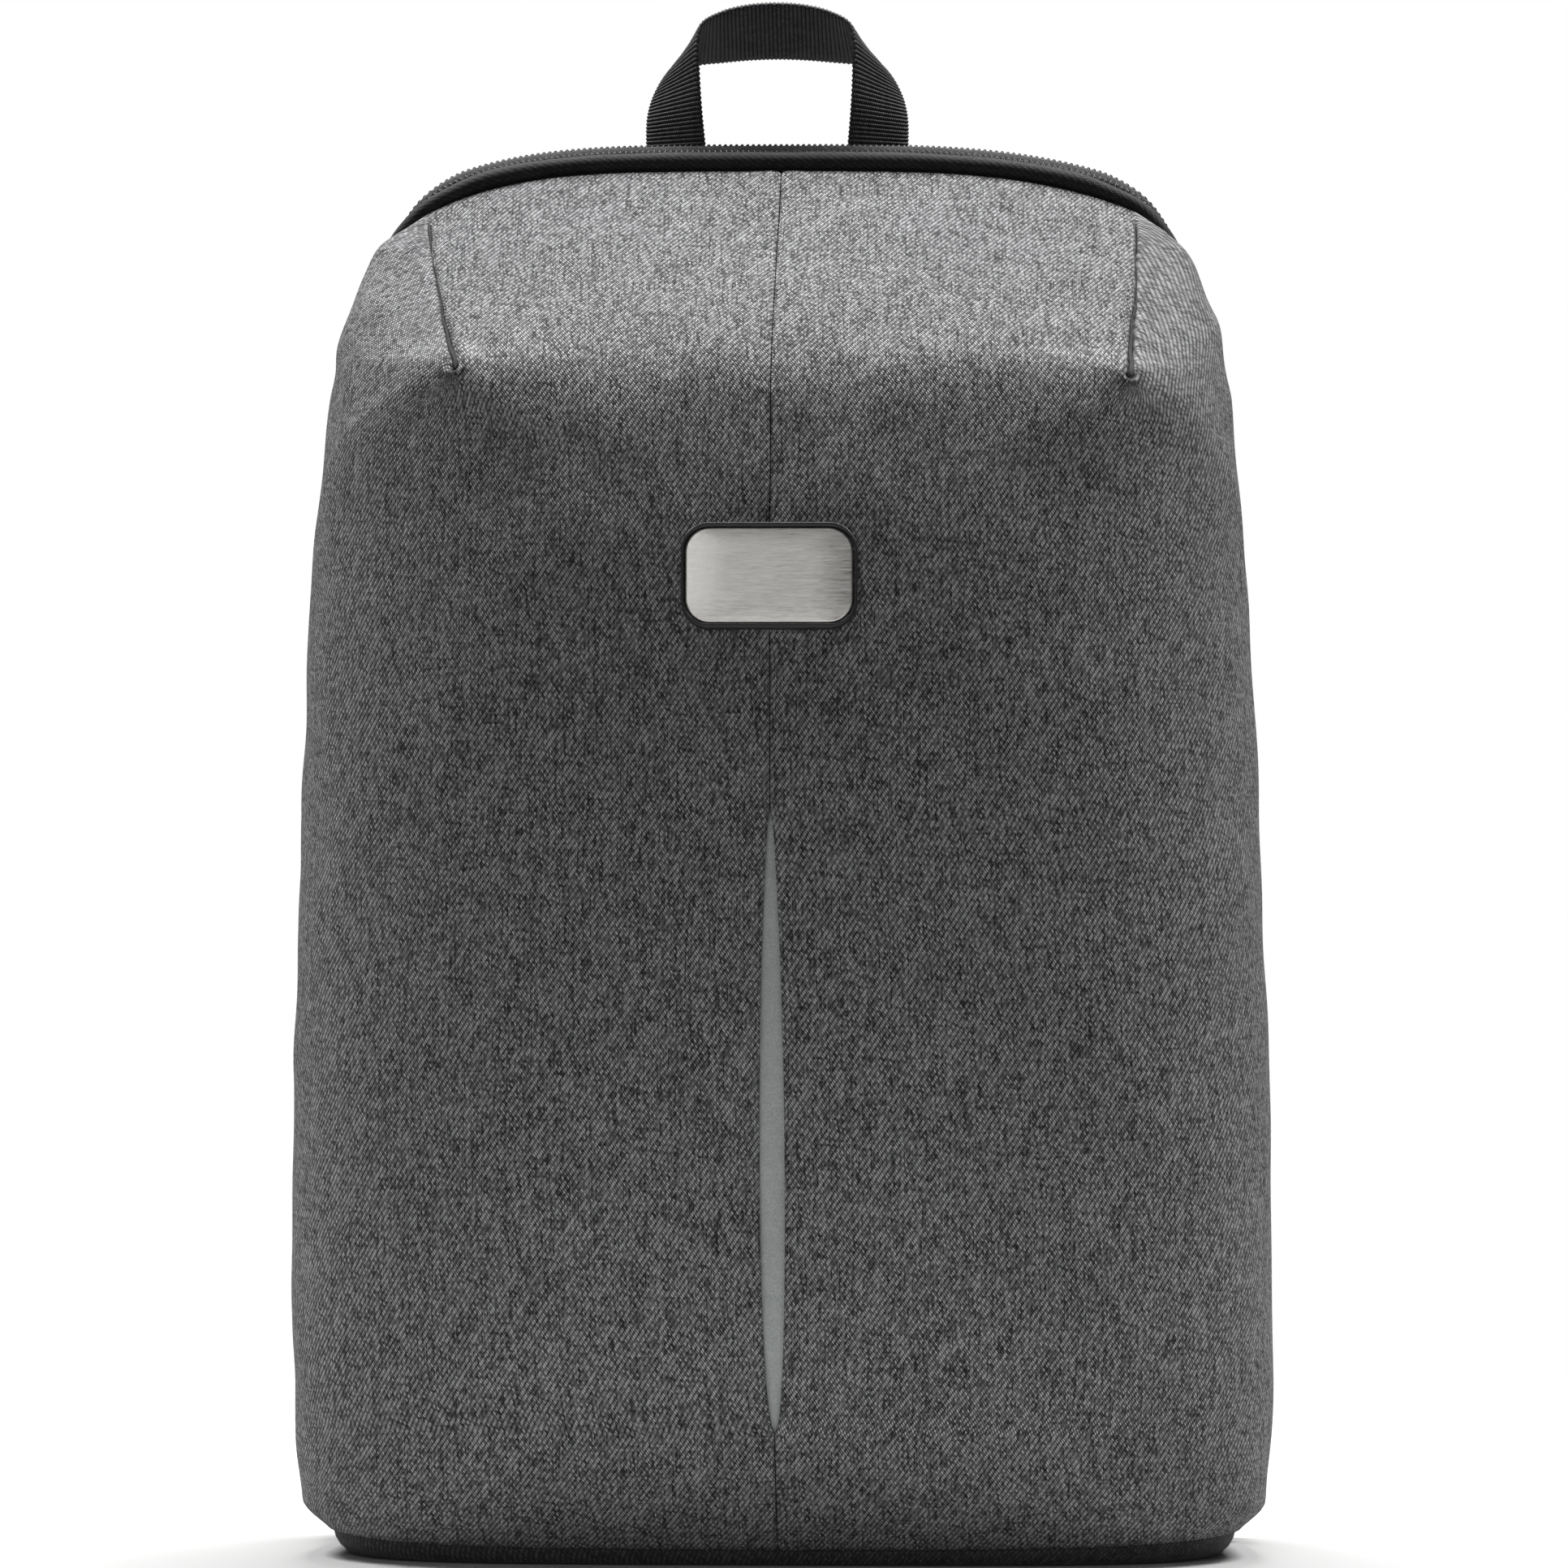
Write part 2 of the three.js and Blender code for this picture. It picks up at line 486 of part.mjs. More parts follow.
// Shoulder straps with their tabs, adjusters and webbing
for (const half of HALVES) {
  const rows = STRAP.map((row) => new V3(half.sign * row.x, row.y, row.z));
  const line = new THREE.CatmullRomCurve3(rows, false, "centripetal");
  const width = column(STRAP.slice().reverse(), "width");
  const thick = column(STRAP.slice().reverse(), "thick");
  const rings = [];
  for (let i = 0; i <= STRAP_STEPS; i += 1) {
    const p = line.getPoint(i / STRAP_STEPS);
    const tangent = line.getTangent(i / STRAP_STEPS);
    const out = new V3(1, 0, 0).cross(tangent).normalize().negate();
    const wide = out.clone().cross(tangent).normalize();
    const ring = [];
    for (let k = 0; k < STRAP_SIDES; k += 1) {
      const angle = (2 * Math.PI * (k + 0.5)) / STRAP_SIDES;
      const u = Math.sign(Math.cos(angle)) * Math.abs(Math.cos(angle)) ** 0.6 * (width(p.z) / 2);
      const v = Math.sign(Math.sin(angle)) * Math.abs(Math.sin(angle)) ** 0.6 * (thick(p.z) / 2);
      ring.push(p.clone().addScaledVector(wide, u).addScaledVector(out, v));
    }
    rings.push(ring);
  }
  add(`shoulder_strap_${half.name}`, "black_mesh", skin(rings));

  // Axes at the strap's end: down along it, out from the back, and across
  const down = line.getTangent(1);
  const out = new V3(1, 0, 0).cross(down).normalize().negate();
  const across = out.clone().cross(down).normalize();
  const pitch = ADJUSTER.bar + ADJUSTER.slot;
  const origin = line.getPoint(1).addScaledVector(down, GAP + 10);
  const local = (t, n) => origin.clone().addScaledVector(down, t).addScaledVector(out, n);

  const frame = roundedRect(ADJUSTER.width, ADJUSTER.bars * pitch - ADJUSTER.slot, 3);
  const length = ADJUSTER.bars * pitch - ADJUSTER.slot;
  for (let i = 0; i + 1 < ADJUSTER.bars; i += 1) {
    const slot = roundedRect(ADJUSTER.inside, ADJUSTER.slot, 0.8);
    const lower = length / 2 - ADJUSTER.bar - ADJUSTER.slot / 2 - i * pitch;
    frame.holes.push(new THREE.Path(slot.getPoints(1).map((p) => new V2(p.x, p.y + lower))));
  }
  const options = { depth: ADJUSTER.thick, bevelEnabled: false, curveSegments: 2 };
  const plateBody = new THREE.ExtrudeGeometry(frame, options);
  plateBody.translate(0, -length / 2, -ADJUSTER.thick / 2);
  const adjuster = add(`strap_adjuster_${half.name}`, "black_plastic", plateBody);
  const basis = new THREE.Matrix4().makeBasis(across, down.clone().negate(), out);
  adjuster.quaternion.setFromRotationMatrix(basis);
  adjuster.position.copy(origin);

  // Tab: down the outer side, round the top bar and back up
  const bend = ADJUSTER.thick / 2 + GAP + WEBBING.thick / 2;
  const tab = [local(-9.6, bend)];
  for (let k = 0; k <= 8; k += 1) {
    const angle = Math.PI / 2 - (k / 8) * Math.PI;
    const t = ADJUSTER.bar + GAP + (WEBBING.thick / 2) * Math.cos(angle);
    tab.push(local(t, bend * Math.sin(angle)));
  }
  tab.push(local(-9.6, -bend));
  add(`strap_tab_${half.name}`, "black_webbing", band(tab, across, WEBBING.width, WEBBING.thick));

  // Webbing: sewn to the back low down, up behind the adjuster, over its third bar and down as a free tail
  const bar = 2 * pitch;
  const foot = new V3(half.sign * WEBBING_FOOT.x, WEBBING_FOOT.y, WEBBING_FOOT.z);
  const points = [
    foot.clone(),
    foot.clone().add(new V3(-half.sign * WEBBING.sewn * 0.25, 0.3, WEBBING.sewn)),
    local(bar + 30, -bend - 2),
    local(bar + 8, -bend - 0.4),
    local(bar, -bend),
    local(bar - GAP - 0.9, -bend * 0.62),
    local(bar - GAP - 1.5, 0),
    local(bar - GAP - 0.9, bend * 0.62),
    local(bar, bend),
    local(bar + 8, bend + 0.3),
    local(bar + WEBBING.tail, bend + 3),
  ];
  const path = new THREE.CatmullRomCurve3(points, false, "centripetal").getPoints(40);
  add(`strap_webbing_${half.name}`, "black_webbing", band(path, across, WEBBING.width, WEBBING.thick));
}

// The bag leans a little to its left, and the origin is on the ground under the middle of everything
bag.matrixAutoUpdate = false;
bag.matrix.makeShear(0, 0, 0, 0, -LEAN, 0);
const standing = new THREE.Group();
standing.name = "standing_backpack";
standing.add(bag);
standing.updateMatrixWorld(true);
standing.position.copy(new THREE.Box3().setFromObject(standing, true).getCenter(new V3())).negate();
standing.position.z = 0;

export default standing;
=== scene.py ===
# %% [markdown]
# # A slim grey backpack that stands on its base
# The solid model of the bag comes in first, as a fixed frame. It has the right sizes and the right places, but its
# cloth is a plain wall and its zip a plain rod. This lesson makes each of those pieces again as a finer surface in
# the same place, gives it a finish made of shader nodes, and lights the bag the way a catalogue would.

# %% Load the solid model
import math

import bpy
import numpy as np
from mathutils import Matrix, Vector


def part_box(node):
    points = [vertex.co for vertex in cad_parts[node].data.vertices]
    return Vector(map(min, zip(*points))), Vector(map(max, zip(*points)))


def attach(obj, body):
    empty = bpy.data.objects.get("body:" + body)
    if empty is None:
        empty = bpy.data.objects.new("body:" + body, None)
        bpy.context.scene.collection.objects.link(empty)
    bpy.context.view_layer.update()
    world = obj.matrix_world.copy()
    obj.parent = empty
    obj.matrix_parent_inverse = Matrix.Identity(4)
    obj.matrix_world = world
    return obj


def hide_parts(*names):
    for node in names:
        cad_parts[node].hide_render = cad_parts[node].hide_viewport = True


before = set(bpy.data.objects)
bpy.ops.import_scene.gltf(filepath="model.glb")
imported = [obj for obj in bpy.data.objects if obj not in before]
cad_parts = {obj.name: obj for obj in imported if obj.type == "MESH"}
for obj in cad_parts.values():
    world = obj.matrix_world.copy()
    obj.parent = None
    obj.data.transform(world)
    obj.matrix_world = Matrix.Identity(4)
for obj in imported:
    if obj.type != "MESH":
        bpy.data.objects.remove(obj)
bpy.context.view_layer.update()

# %% [markdown]
# ## Bag coordinates
# A bag is easiest to describe from its own rim: x to the right of the centre seam, y behind the rim of the cloth,
# z up from the ground, all in millimetres. Two solids whose places in that system are known give the shift to the
# frame, so nothing has to be fitted by eye. The whole bag also leans a little to its left as it stands.

# %% Bag coordinates
LEAN = 0.006  # sideways, for each millimetre of height
TAPE_FRONT = 2.1  # the zip tape's front edge, behind the rim
tape_low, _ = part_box("zip_tape")
plate_low, plate_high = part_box("badge_plate")
plate_middle = 500 * (plate_low + plate_high)
RIM_Y = 1000 * tape_low.y - TAPE_FRONT
SEAM_X = plate_middle.x + LEAN * plate_middle.z


def place(points):
    """Bag millimetres to metres in the frame: lean x with height, shift to the seam and the rim, divide by 1000."""
    x, y, z = np.moveaxis(np.asarray(points, float), -1, 0)
    return np.stack([x - LEAN * z + SEAM_X, y + RIM_Y, z], axis=-1) / 1000


print(f"rim at y {RIM_Y:.2f} mm, seam at x {SEAM_X:.2f} mm")

# %% [markdown]
# ## Camera
# The photograph looks straight at the front from far away, turned a little to the right and level with the middle
# of the bag. A long lens at that distance keeps the sides almost parallel, as they are in the picture.

# %% Camera
scene = bpy.context.scene
scene.view_settings.view_transform = "Standard"
CAMERA = {"far": 2.5, "turn": math.radians(2.3), "high": 0.2265, "lens": 193.4}
camera = bpy.data.objects.new("camera", bpy.data.cameras.new("camera"))
camera.data.lens = CAMERA["lens"]
camera.data.sensor_width = 36
camera.location = (
    CAMERA["far"] * math.sin(CAMERA["turn"]), -CAMERA["far"] * math.cos(CAMERA["turn"]), CAMERA["high"]
)
camera.rotation_euler = (math.pi / 2, 0, CAMERA["turn"])
scene.collection.objects.link(camera)
scene.camera = camera
print("camera at", [round(v, 3) for v in camera.location])

# %% [markdown]
# ## Light
# The sloped top is twice as bright as the front and the fold between them is the line where the light changes. One
# large softbox above and a little behind does that: it reaches the top and only grazes the front. The rest is even
# grey light from all around, soft panels in front for the badge and the foot, and one at each side for the shoulders.

# %% Softboxes
BAG_TOP = (0, -0.02, 0.36)
BAG_MIDDLE = (0, 0, 0.22)
SOFTBOXES = {
    # name: (centre, target, width and height, watts)
    "top": ((0.0, 0.46, 2.1), BAG_TOP, (0.9, 0.9), 37),
    "front": ((-0.55, -2.2, 1.3), BAG_MIDDLE, (0.7, 0.6), 3.2),
    "low": ((0.0, -2.0, 0.2), (0, 0, 0.02), (1.6, 0.3), 4.5),
    "left": ((-1.15, 0.3, 1.85), BAG_TOP, (0.6, 0.7), 35),
    "right": ((1.15, 0.3, 1.85), BAG_TOP, (0.6, 0.7), 38),
}


def softbox(name, centre, target, size, watts):
    """A rectangular area light at centre that faces target."""
    lamp = bpy.data.lights.new(name, "AREA")
    lamp.shape = "RECTANGLE"
    lamp.size, lamp.size_y = size
    lamp.energy = watts
    holder = bpy.data.objects.new(f"softbox_{name}", lamp)
    holder.location = centre
    holder.rotation_euler = (Vector(target) - Vector(centre)).to_track_quat("-Z", "Y").to_euler()
    scene.collection.objects.link(holder)


for name, values in SOFTBOXES.items():
    softbox(name, *values)
print("softboxes:", ", ".join(SOFTBOXES))


# %% [markdown]
# ## Node shorthand
# Materials here are written as code, so one small helper makes a node, sets its options and fills its inputs. An
# input takes either a plain value or another node's output, which is then linked.

# %% Node shorthand
def add_node(tree, kind, values=None, **settings):
    """A new shader node; values maps an input's name or number to a value or to a socket to link from."""
    made = tree.nodes.new("ShaderNode" + kind)
    for key, value in settings.items():
        setattr(made, key, value)
    for key, value in (values or {}).items():
        if isinstance(value, bpy.types.NodeSocket):
            tree.links.new(value, made.inputs[key])
        else:
            made.inputs[key].default_value = value
    return made


def calc(tree, operation, *values, clamp=False):
    """The output of a Math node on up to three values or sockets."""
    return add_node(tree, "Math", dict(enumerate(values)), operation=operation, use_clamp=clamp).outputs[0]


def mix_colour(tree, share, first, second):
    """The output of a Mix node between two colours or colour sockets."""
    return add_node(tree, "Mix", {0: share, 6: first, 7: second}, data_type="RGBA").outputs[2]


def new_material(name):
    """A material with an empty node tree, and that tree."""
    material = bpy.data.materials.new(name)
    material.use_nodes = True
    material.node_tree.nodes.clear()
    return material, material.node_tree


# %% [markdown]
# ## Surroundings
# The world lights the bag with an even grey but shows the camera plain white, which the Light Path node can tell
# apart. The floor is a pale disc that takes the bag's soft shadow and fades out with distance into that white. It
# throws only part of its light back, as a floor does that is shaded by flags in a studio.

# %% World
world = bpy.data.worlds.new("studio")
scene.world = world
world.use_nodes = True
world.node_tree.nodes.clear()
AMBIENT = 0.02
seen = add_node(world.node_tree, "LightPath").outputs["Is Camera Ray"]
brightness = add_node(world.node_tree, "MapRange", {"Value": seen, "To Min": AMBIENT, "To Max": 1.0})
sky = add_node(world.node_tree, "Background", {"Color": (1, 1, 1, 1), "Strength": brightness.outputs[0]})
add_node(world.node_tree, "OutputWorld", {"Surface": sky.outputs[0]})
print("ambient light:", AMBIENT)


# %% [markdown]
# ## From numbers to a mesh
# Every new piece is a grid of points: rows along the piece, columns across it. One function turns such a grid into
# a mesh, with a quad for each cell. It can join the last column to the first for a tube, cap the tube's ends, and
# it turns all faces outwards by comparing them with the middle of their row, or with a point inside the piece.

# %% Curve helpers
def full_turn(count):
    """Angles at count even steps of one turn."""
    return np.linspace(0, 2 * np.pi, count, endpoint=False)


def squared(wave, power):
    """A sine or cosine made fuller, as in a superellipse: its sign times its size to a power below 1."""
    return np.sign(wave) * np.abs(wave) ** power


def run_lengths(points):
    """Length along a polyline from its start to each of its points."""
    return np.concatenate([[0], np.cumsum(np.linalg.norm(np.diff(points, axis=0), axis=1))])


# %% Mesh helpers
def cell_corners(values, rows, columns):
    """For each cell of a grid, the values at its four corners, in the order of the cell's quad."""
    i, j = np.meshgrid(np.arange(rows), np.arange(columns), indexing="ij")
    return np.stack([values[i, j], values[i, j + 1], values[i + 1, j + 1], values[i + 1, j]], axis=2)


def grid_quads(rows, columns, tube, ring):
    """Point numbers of each quad; tube joins the last column of points to the first, and ring the last row."""
    numbers = np.arange(rows * columns).reshape(rows, columns)
    numbers = np.hstack([numbers, numbers[:, :1]]) if tube else numbers
    numbers = np.vstack([numbers, numbers[:1]]) if ring else numbers
    return cell_corners(numbers, numbers.shape[0] - 1, numbers.shape[1] - 1).reshape(-1, 4)


def outward_quads(points, quads, inside):
    """The same quads, all reversed if most of them face the point, or the row middles, given as inside."""
    corner = points.reshape(-1, 3)[quads]
    normal = np.cross(corner[:, 2] - corner[:, 0], corner[:, 3] - corner[:, 1])
    if inside is None:
        middle = points.mean(axis=1)
        inside = middle[quads[:, 0] // points.shape[1]]
    facing = np.einsum("ij,ij->i", normal, corner.mean(axis=1) - inside)
    return quads[:, ::-1] if facing.sum() < 0 else quads


def link_mesh(name, mesh):
    """A smoothly shaded object with this mesh, in the scene."""
    mesh.shade_smooth()
    made = bpy.data.objects.new(name, mesh)
    scene.collection.objects.link(made)
    return made


def thicken(piece, millimetres):
    """A Solidify modifier that gives a surface its thickness towards the inside."""
    wall = piece.modifiers.new("thickness", "SOLIDIFY")
    wall.thickness, wall.offset = millimetres / 1000, -1


def grid_piece(name, points, tube=False, ring=False, caps=(), inside=None, uv=None):
    """A mesh object from a grid of points in bag millimetres; uv has a pair for each cell's corner, caps names ends."""
    rows, columns = points.shape[:2]
    plain = grid_quads(rows, columns, tube, ring)
    quads = outward_quads(points, plain, inside)
    turned = quads is not plain
    faces = quads.tolist()
    first, last = np.arange(columns), np.arange(columns) + (rows - 1) * columns
    faces += [first.tolist()[:: 1 if turned else -1]] * ("first" in caps)
    faces += [last.tolist()[:: -1 if turned else 1]] * ("last" in caps)
    mesh = bpy.data.meshes.new(name)
    mesh.from_pydata(place(points).reshape(-1, 3).tolist(), [], faces)
    if uv is not None:
        flat = uv.reshape(-1, 4, 2)[:, ::-1] if turned else uv.reshape(-1, 4, 2)
        values = np.zeros((len(mesh.loops), 2), np.float32)
        values[: flat.shape[0] * 4] = flat.reshape(-1, 2)
        mesh.uv_layers.new(name="cloth").data.foreach_set("uv", values.ravel())
    return link_mesh(name, mesh)


BOTH_ENDS = ("first", "last")


def finish_piece(piece, material, slot, *nodes):
    """Gives a piece its material, lets it ride with the bag and hides the solids that it stands for."""
    piece.data.materials.clear()
    piece.data.materials.append(material)
    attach(piece, "root")
    if nodes:
        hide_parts(*nodes)
    print(f"{piece.name}: {len(piece.data.polygons)} faces, {slot}")


# %% Floor
FLOOR_BOUNCE = 0.85  # share of the light that the floor throws back at the bag
FLOOR_FADE = (0.12, 0.8)  # metres from the middle between which the floor fades out
FLOOR_HEIGHT = -0.3  # just under the bag
FLOOR_RADII = np.array([0.001, 200, 450, 800, 1300, 2000, 2900])
turns = full_turn(96)
floor_points = np.stack([
    FLOOR_RADII[:, None] * np.cos(turns), FLOOR_RADII[:, None] * np.sin(turns),
    np.full((len(FLOOR_RADII), len(turns)), FLOOR_HEIGHT),
], axis=-1)
floor = grid_piece("floor", floor_points, tube=True, inside=np.array([0, 0, -100.0]))
paper, paper_tree = new_material("floor_paper")
spot = add_node(paper_tree, "TexCoord").outputs["Object"]
distance = add_node(paper_tree, "VectorMath", {0: spot}, operation="LENGTH").outputs["Value"]
seen = add_node(paper_tree, "LightPath").outputs["Is Camera Ray"]
shown = calc(paper_tree, "MULTIPLY_ADD", seen, 1 - FLOOR_BOUNCE, FLOOR_BOUNCE)
cover = add_node(paper_tree, "MapRange", {
    "Value": distance, "From Min": FLOOR_FADE[0], "From Max": FLOOR_FADE[1], "To Min": 1.0, "To Max": 0.0
}, interpolation_type="SMOOTHSTEP").outputs[0]
sheet = add_node(paper_tree, "BsdfPrincipled", {"Base Color": (0.78, 0.78, 0.775, 1), "Roughness": 0.9})
clear = add_node(paper_tree, "BsdfTransparent")
cover = calc(paper_tree, "MULTIPLY", cover, shown)
faded = add_node(paper_tree, "MixShader", {0: cover, 1: clear.outputs[0], 2: sheet.outputs[0]})
add_node(paper_tree, "OutputMaterial", {"Surface": faded.outputs[0]})
floor.data.materials.append(paper)
print("floor radius:", FLOOR_RADII[-1] / 1000, "m")

# %% [markdown]
# ## The shape of the cloth
# The bag's front, sides and sloped top are one skin, cut in two halves. Level sections describe it well: each row
# of the table is a height, and the columns say where the rim, the corner and the centre seam are there. A curve
# through each column that never overshoots its points gives every section in between.

# %% Sections of the bag
COLUMNS = ("z", "drop", "rim", "corner", "edge", "mid", "cut", "bow", "dart")
SECTIONS = np.array([
    (4.5, -3, 130, 133.5, 78.5, 84.5, 36, 2.5, 0),
    (14, -2, 136.4, 141.4, 86.5, 92.5, 42, 3, 0),
    (34, -0.5, 137, 141.5, 94.5, 101.5, 47, 4, 0),
    (75, 0, 137.6, 142, 100, 108.5, 52, 4.6, 0),
    (140, 0, 137, 141, 101, 110.5, 56, 4.8, 0),
    (220, 0, 134.3, 138, 99, 109, 58, 5.4, 0),
    (284, 0, 130.7, 129, 93.8, 102, 52, 8.4, 0.1),
    (322, 0.2, 127.7, 115, 87.5, 93, 34, 13, 0.5),
    (342, 0.6, 125.7, 102, 82.5, 86, 12, 18, 0.9),
    (350, 1.4, 123.6, 98.7, 79, 81.5, 4, 19.8, 1),
    (358, 3, 121.8, 99.6, 68, 73.5, 3, 20, 0.84),
    (380, 7, 118.4, 103, 39, 42.5, 2.5, 15.8, 0.48),
    (396, 9.8, 115, 104.6, 18, 20, 2, 11.6, 0.2),
    (410.2, 12.4, 106, 106, 0, 0, 0, 0, 0),
])
FOOT, TOP, CREASE = 4.5, 410.2, 350.0  # heights of the lower seam, the rim's top and the fold
ARCH_POWER = {"left": 4.4, "right": 3.5}  # how late the top edge turns down towards each corner
FRONT_CUT = 1.5  # the rounding reaches further along the front than along the side
DART_SWELL = 0.35  # share of a dart's shift that is taken off the swell of the side
DART_S = 1.5  # where a dart lies between the side (1) and the front (2)
FOLD_REACH = 42  # how far above and below the fold it is softened
INSIDE = np.array([0, -20, 200.0])  # a point inside the bag
HALVES = {"left": (-1, 6, 0), "right": (1, 6, 2.6)}  # side, dart's shift to the right, dart's drop


def smooth(at, table_x, table_y):
    """Cubic through a table: the slope at a point is the harmonic mean of the rises beside it, or 0 at a turn."""
    rise = np.diff(table_y) / np.diff(table_x)
    product = np.maximum(rise[:-1] * rise[1:], 0)
    inner = np.divide(2 * product, rise[:-1] + rise[1:], out=np.zeros_like(product), where=product > 0)
    slope = np.concatenate([rise[:1], inner, rise[-1:]])
    i = np.clip(np.searchsorted(table_x, at) - 1, 0, len(table_x) - 2)
    h = table_x[i + 1] - table_x[i]
    t = np.clip((at - table_x[i]) / h, 0, 1)
    value = table_y[i] * (1 + 2 * t) * (1 - t) ** 2 + table_y[i + 1] * t * t * (3 - 2 * t)
    return value + h * t * (1 - t) * (slope[i] * (1 - t) - slope[i + 1] * t)


def section(name, z):
    """One column of the section table at any height."""
    return smooth(np.asarray(z, float), SECTIONS[:, 0], SECTIONS[:, COLUMNS.index(name)])


def softened(name, z, spread):
    """A column averaged over heights with a bell of this spread, but only near the fold."""
    shifts = np.linspace(-2, 2, 9)
    weights = np.exp(-shifts ** 2)
    mean = sum(w * section(name, z + spread * k) for w, k in zip(weights / weights.sum(), shifts))
    near = np.exp(-(((z - CREASE) / FOLD_REACH) ** 4))
    return section(name, z) + near * (mean - section(name, z))


def ease(x, low, high):
    """0 below low, 1 above high, and the smooth step 3t^2 - 2t^3 between them."""
    t = np.clip((x - low) / (high - low), 0, 1)
    return t * t * (3 - 2 * t)


print("half-width at the widest:", section("corner", np.linspace(FOOT, TOP, 400)).max())

# %% [markdown]
# ## The slit and the seam
# The two halves meet in a centre seam. In its lower part they part into a lens-shaped slit, which shows a grey strip
# behind it. The slit's half-width is a power of the distance from each end, so the upper end is the sharper one.

# %% Slit
SEAM_GAP = 0.3
SLIT = {"low": 39.8, "high": 219, "half": 3.5, "low_power": 0.5, "high_power": 0.7}


def slit_half(z):
    """Half the slit's width: t^a (1-t)^b along its height, scaled so that the widest place is SLIT half."""
    t = np.clip((z - SLIT["low"]) / (SLIT["high"] - SLIT["low"]), 0, 1)
    a, b = SLIT["low_power"], SLIT["high_power"]
    widest = a / (a + b)
    return SLIT["half"] * t ** a * (1 - t) ** b / (widest ** a * (1 - widest) ** b)


print("slit at z 130 mm:", round(float(2 * slit_half(130)), 2), "mm wide")

# %% [markdown]
# ## One half as a surface
# A half is a function of two parameters: the height z, and s, which runs from 0 at the rim along the side to 1,
# round the corner to 2, and along the front to 3 at the centre seam. The side is a straight chord with a swell, the
# corner a quadratic curve, the front a shallow parabola. Above the fold the corner is the line of the dart.

# %% Cloth surface
FOLD_SPREAD, SHOULDER_SPREAD = 9.0, 22.0  # the fold is softer at the seam and outside the darts than at their ends


def cloth_points(half, z, s):
    """Points of one half: side = chord + swell 4b t(1-t); corner = Bezier; front y = mid - (mid-edge)(x/corner)^2."""
    sign, shift, extra_drop = HALVES[half]
    value = {name: section(name, z) for name in COLUMNS}
    value["mid"] = softened("mid", z, FOLD_SPREAD)
    lean = shift * sign * value["dart"]
    corner_x, corner_y, rim_x = value["corner"] + lean, value["edge"], value["rim"]
    length = np.maximum(np.hypot(corner_x - rim_x, corner_y), 1e-6)
    cut = np.minimum(value["cut"], 0.6 * length)
    tangent, start = 1 - cut / length, corner_x - FRONT_CUT * cut
    round_y = softened("edge", z, SHOULDER_SPREAD)

    def side(t):
        deep = round_y + (corner_y - round_y) * ease(t, 0.5, 1)
        chord = np.maximum(np.hypot(corner_x - rim_x, deep), 1e-6)
        swell = 4 * (value["bow"] - DART_SWELL * lean) * t * (1 - t) / chord
        x = rim_x + (corner_x - rim_x) * t + deep * swell
        return np.stack([x, deep * t - (corner_x - rim_x) * swell])

    def front(x):
        return np.stack([x, value["mid"] - (value["mid"] - corner_y) * (x / corner_x) ** 2])

    along, turn = np.clip(s, 0, 1), np.clip(s - 1, 0, 1)
    inner = SEAM_GAP / 2 + slit_half(z)
    flat = front(start + (inner - start) * np.clip(s - 2, 0, 1))
    corner = np.stack([corner_x + 0 * s, corner_y + 0 * s])
    bend = (1 - turn) ** 2 * side(tangent) + 2 * turn * (1 - turn) * corner + turn ** 2 * front(start)
    x, y = np.where(s <= 1, side(along * tangent), np.where(s <= 2, bend, flat))
    fall = np.where(s <= 1, 1, np.minimum(1, x / corner_x) ** ARCH_POWER[half])
    height = z - (value["drop"] + extra_drop * value["dart"]) * fall
    return np.stack([sign * x, -y, height + 0 * s], axis=-1)


# %% [markdown]
# ## Where the grid needs its points
# A grid spends its points where the surface turns: close together on the sloped top, where the darts are sewn, and
# beside the seam, where the cloth rolls over; far apart on the quiet front. Rows are laid out by length along the
# centre seam, so the same length also serves as the cloth's own lengthwise measure for the weave.

# %% Grid of the cloth
ROW_STEP, ROW_STEP_LESS = 2.2, 1.75  # length between rows on the front, and how much less it is on the sloped top
STEP_CHANGE = (322, 346)  # heights between which the rows move together
fine_z = np.linspace(FOOT, TOP, 6000)
fine_length = np.concatenate([[0], np.cumsum(np.hypot(np.diff(fine_z), np.diff(section("mid", fine_z))))])
row_step = ROW_STEP - ROW_STEP_LESS * ease(fine_z, *STEP_CHANGE)
row_count = np.concatenate([[0], np.cumsum(np.diff(fine_length) / row_step[1:])])
row_z = np.interp(np.linspace(0, row_count[-1], int(row_count[-1])), row_count, fine_z)
row_length = np.interp(row_z, fine_z, fine_length)
CREASE_LENGTH = float(np.interp(CREASE, fine_z, fine_length))
near_seam = np.array([0, 0.2, 0.45, 0.75, 1.1, 1.5, 2, 2.6, 3.4, 4.6, 6.4]) / 80
near_dart = np.array([0.35, 0.7, 1.1, 1.5, 2, 2.7, 3.6, 5, 7]) / 80
front_s = 3 - np.concatenate([near_seam, np.linspace(0.11, 0.88, 26), 1 - near_dart[::-1]])
side_s = np.concatenate([[0, 0.02, 0.05], np.linspace(0.09, 0.86, 20), 1 - 1.3 * near_dart[::-1]])
column_s = np.concatenate([side_s, np.linspace(1, 2, 15), front_s[::-1]])
print("cloth grid:", len(row_z), "rows x", len(column_s), "columns for each half")

# %% [markdown]
# ## Relief of the sewn cloth
# What makes the shape read as sewn cloth is small: the edges roll inwards at the seam, the darts pull a groove with a
# soft pillow on both sides and end in a dimple, short puckers cross them, and the panel is never quite even.
# All of this is one height map in millimetres, added along the surface's normals.

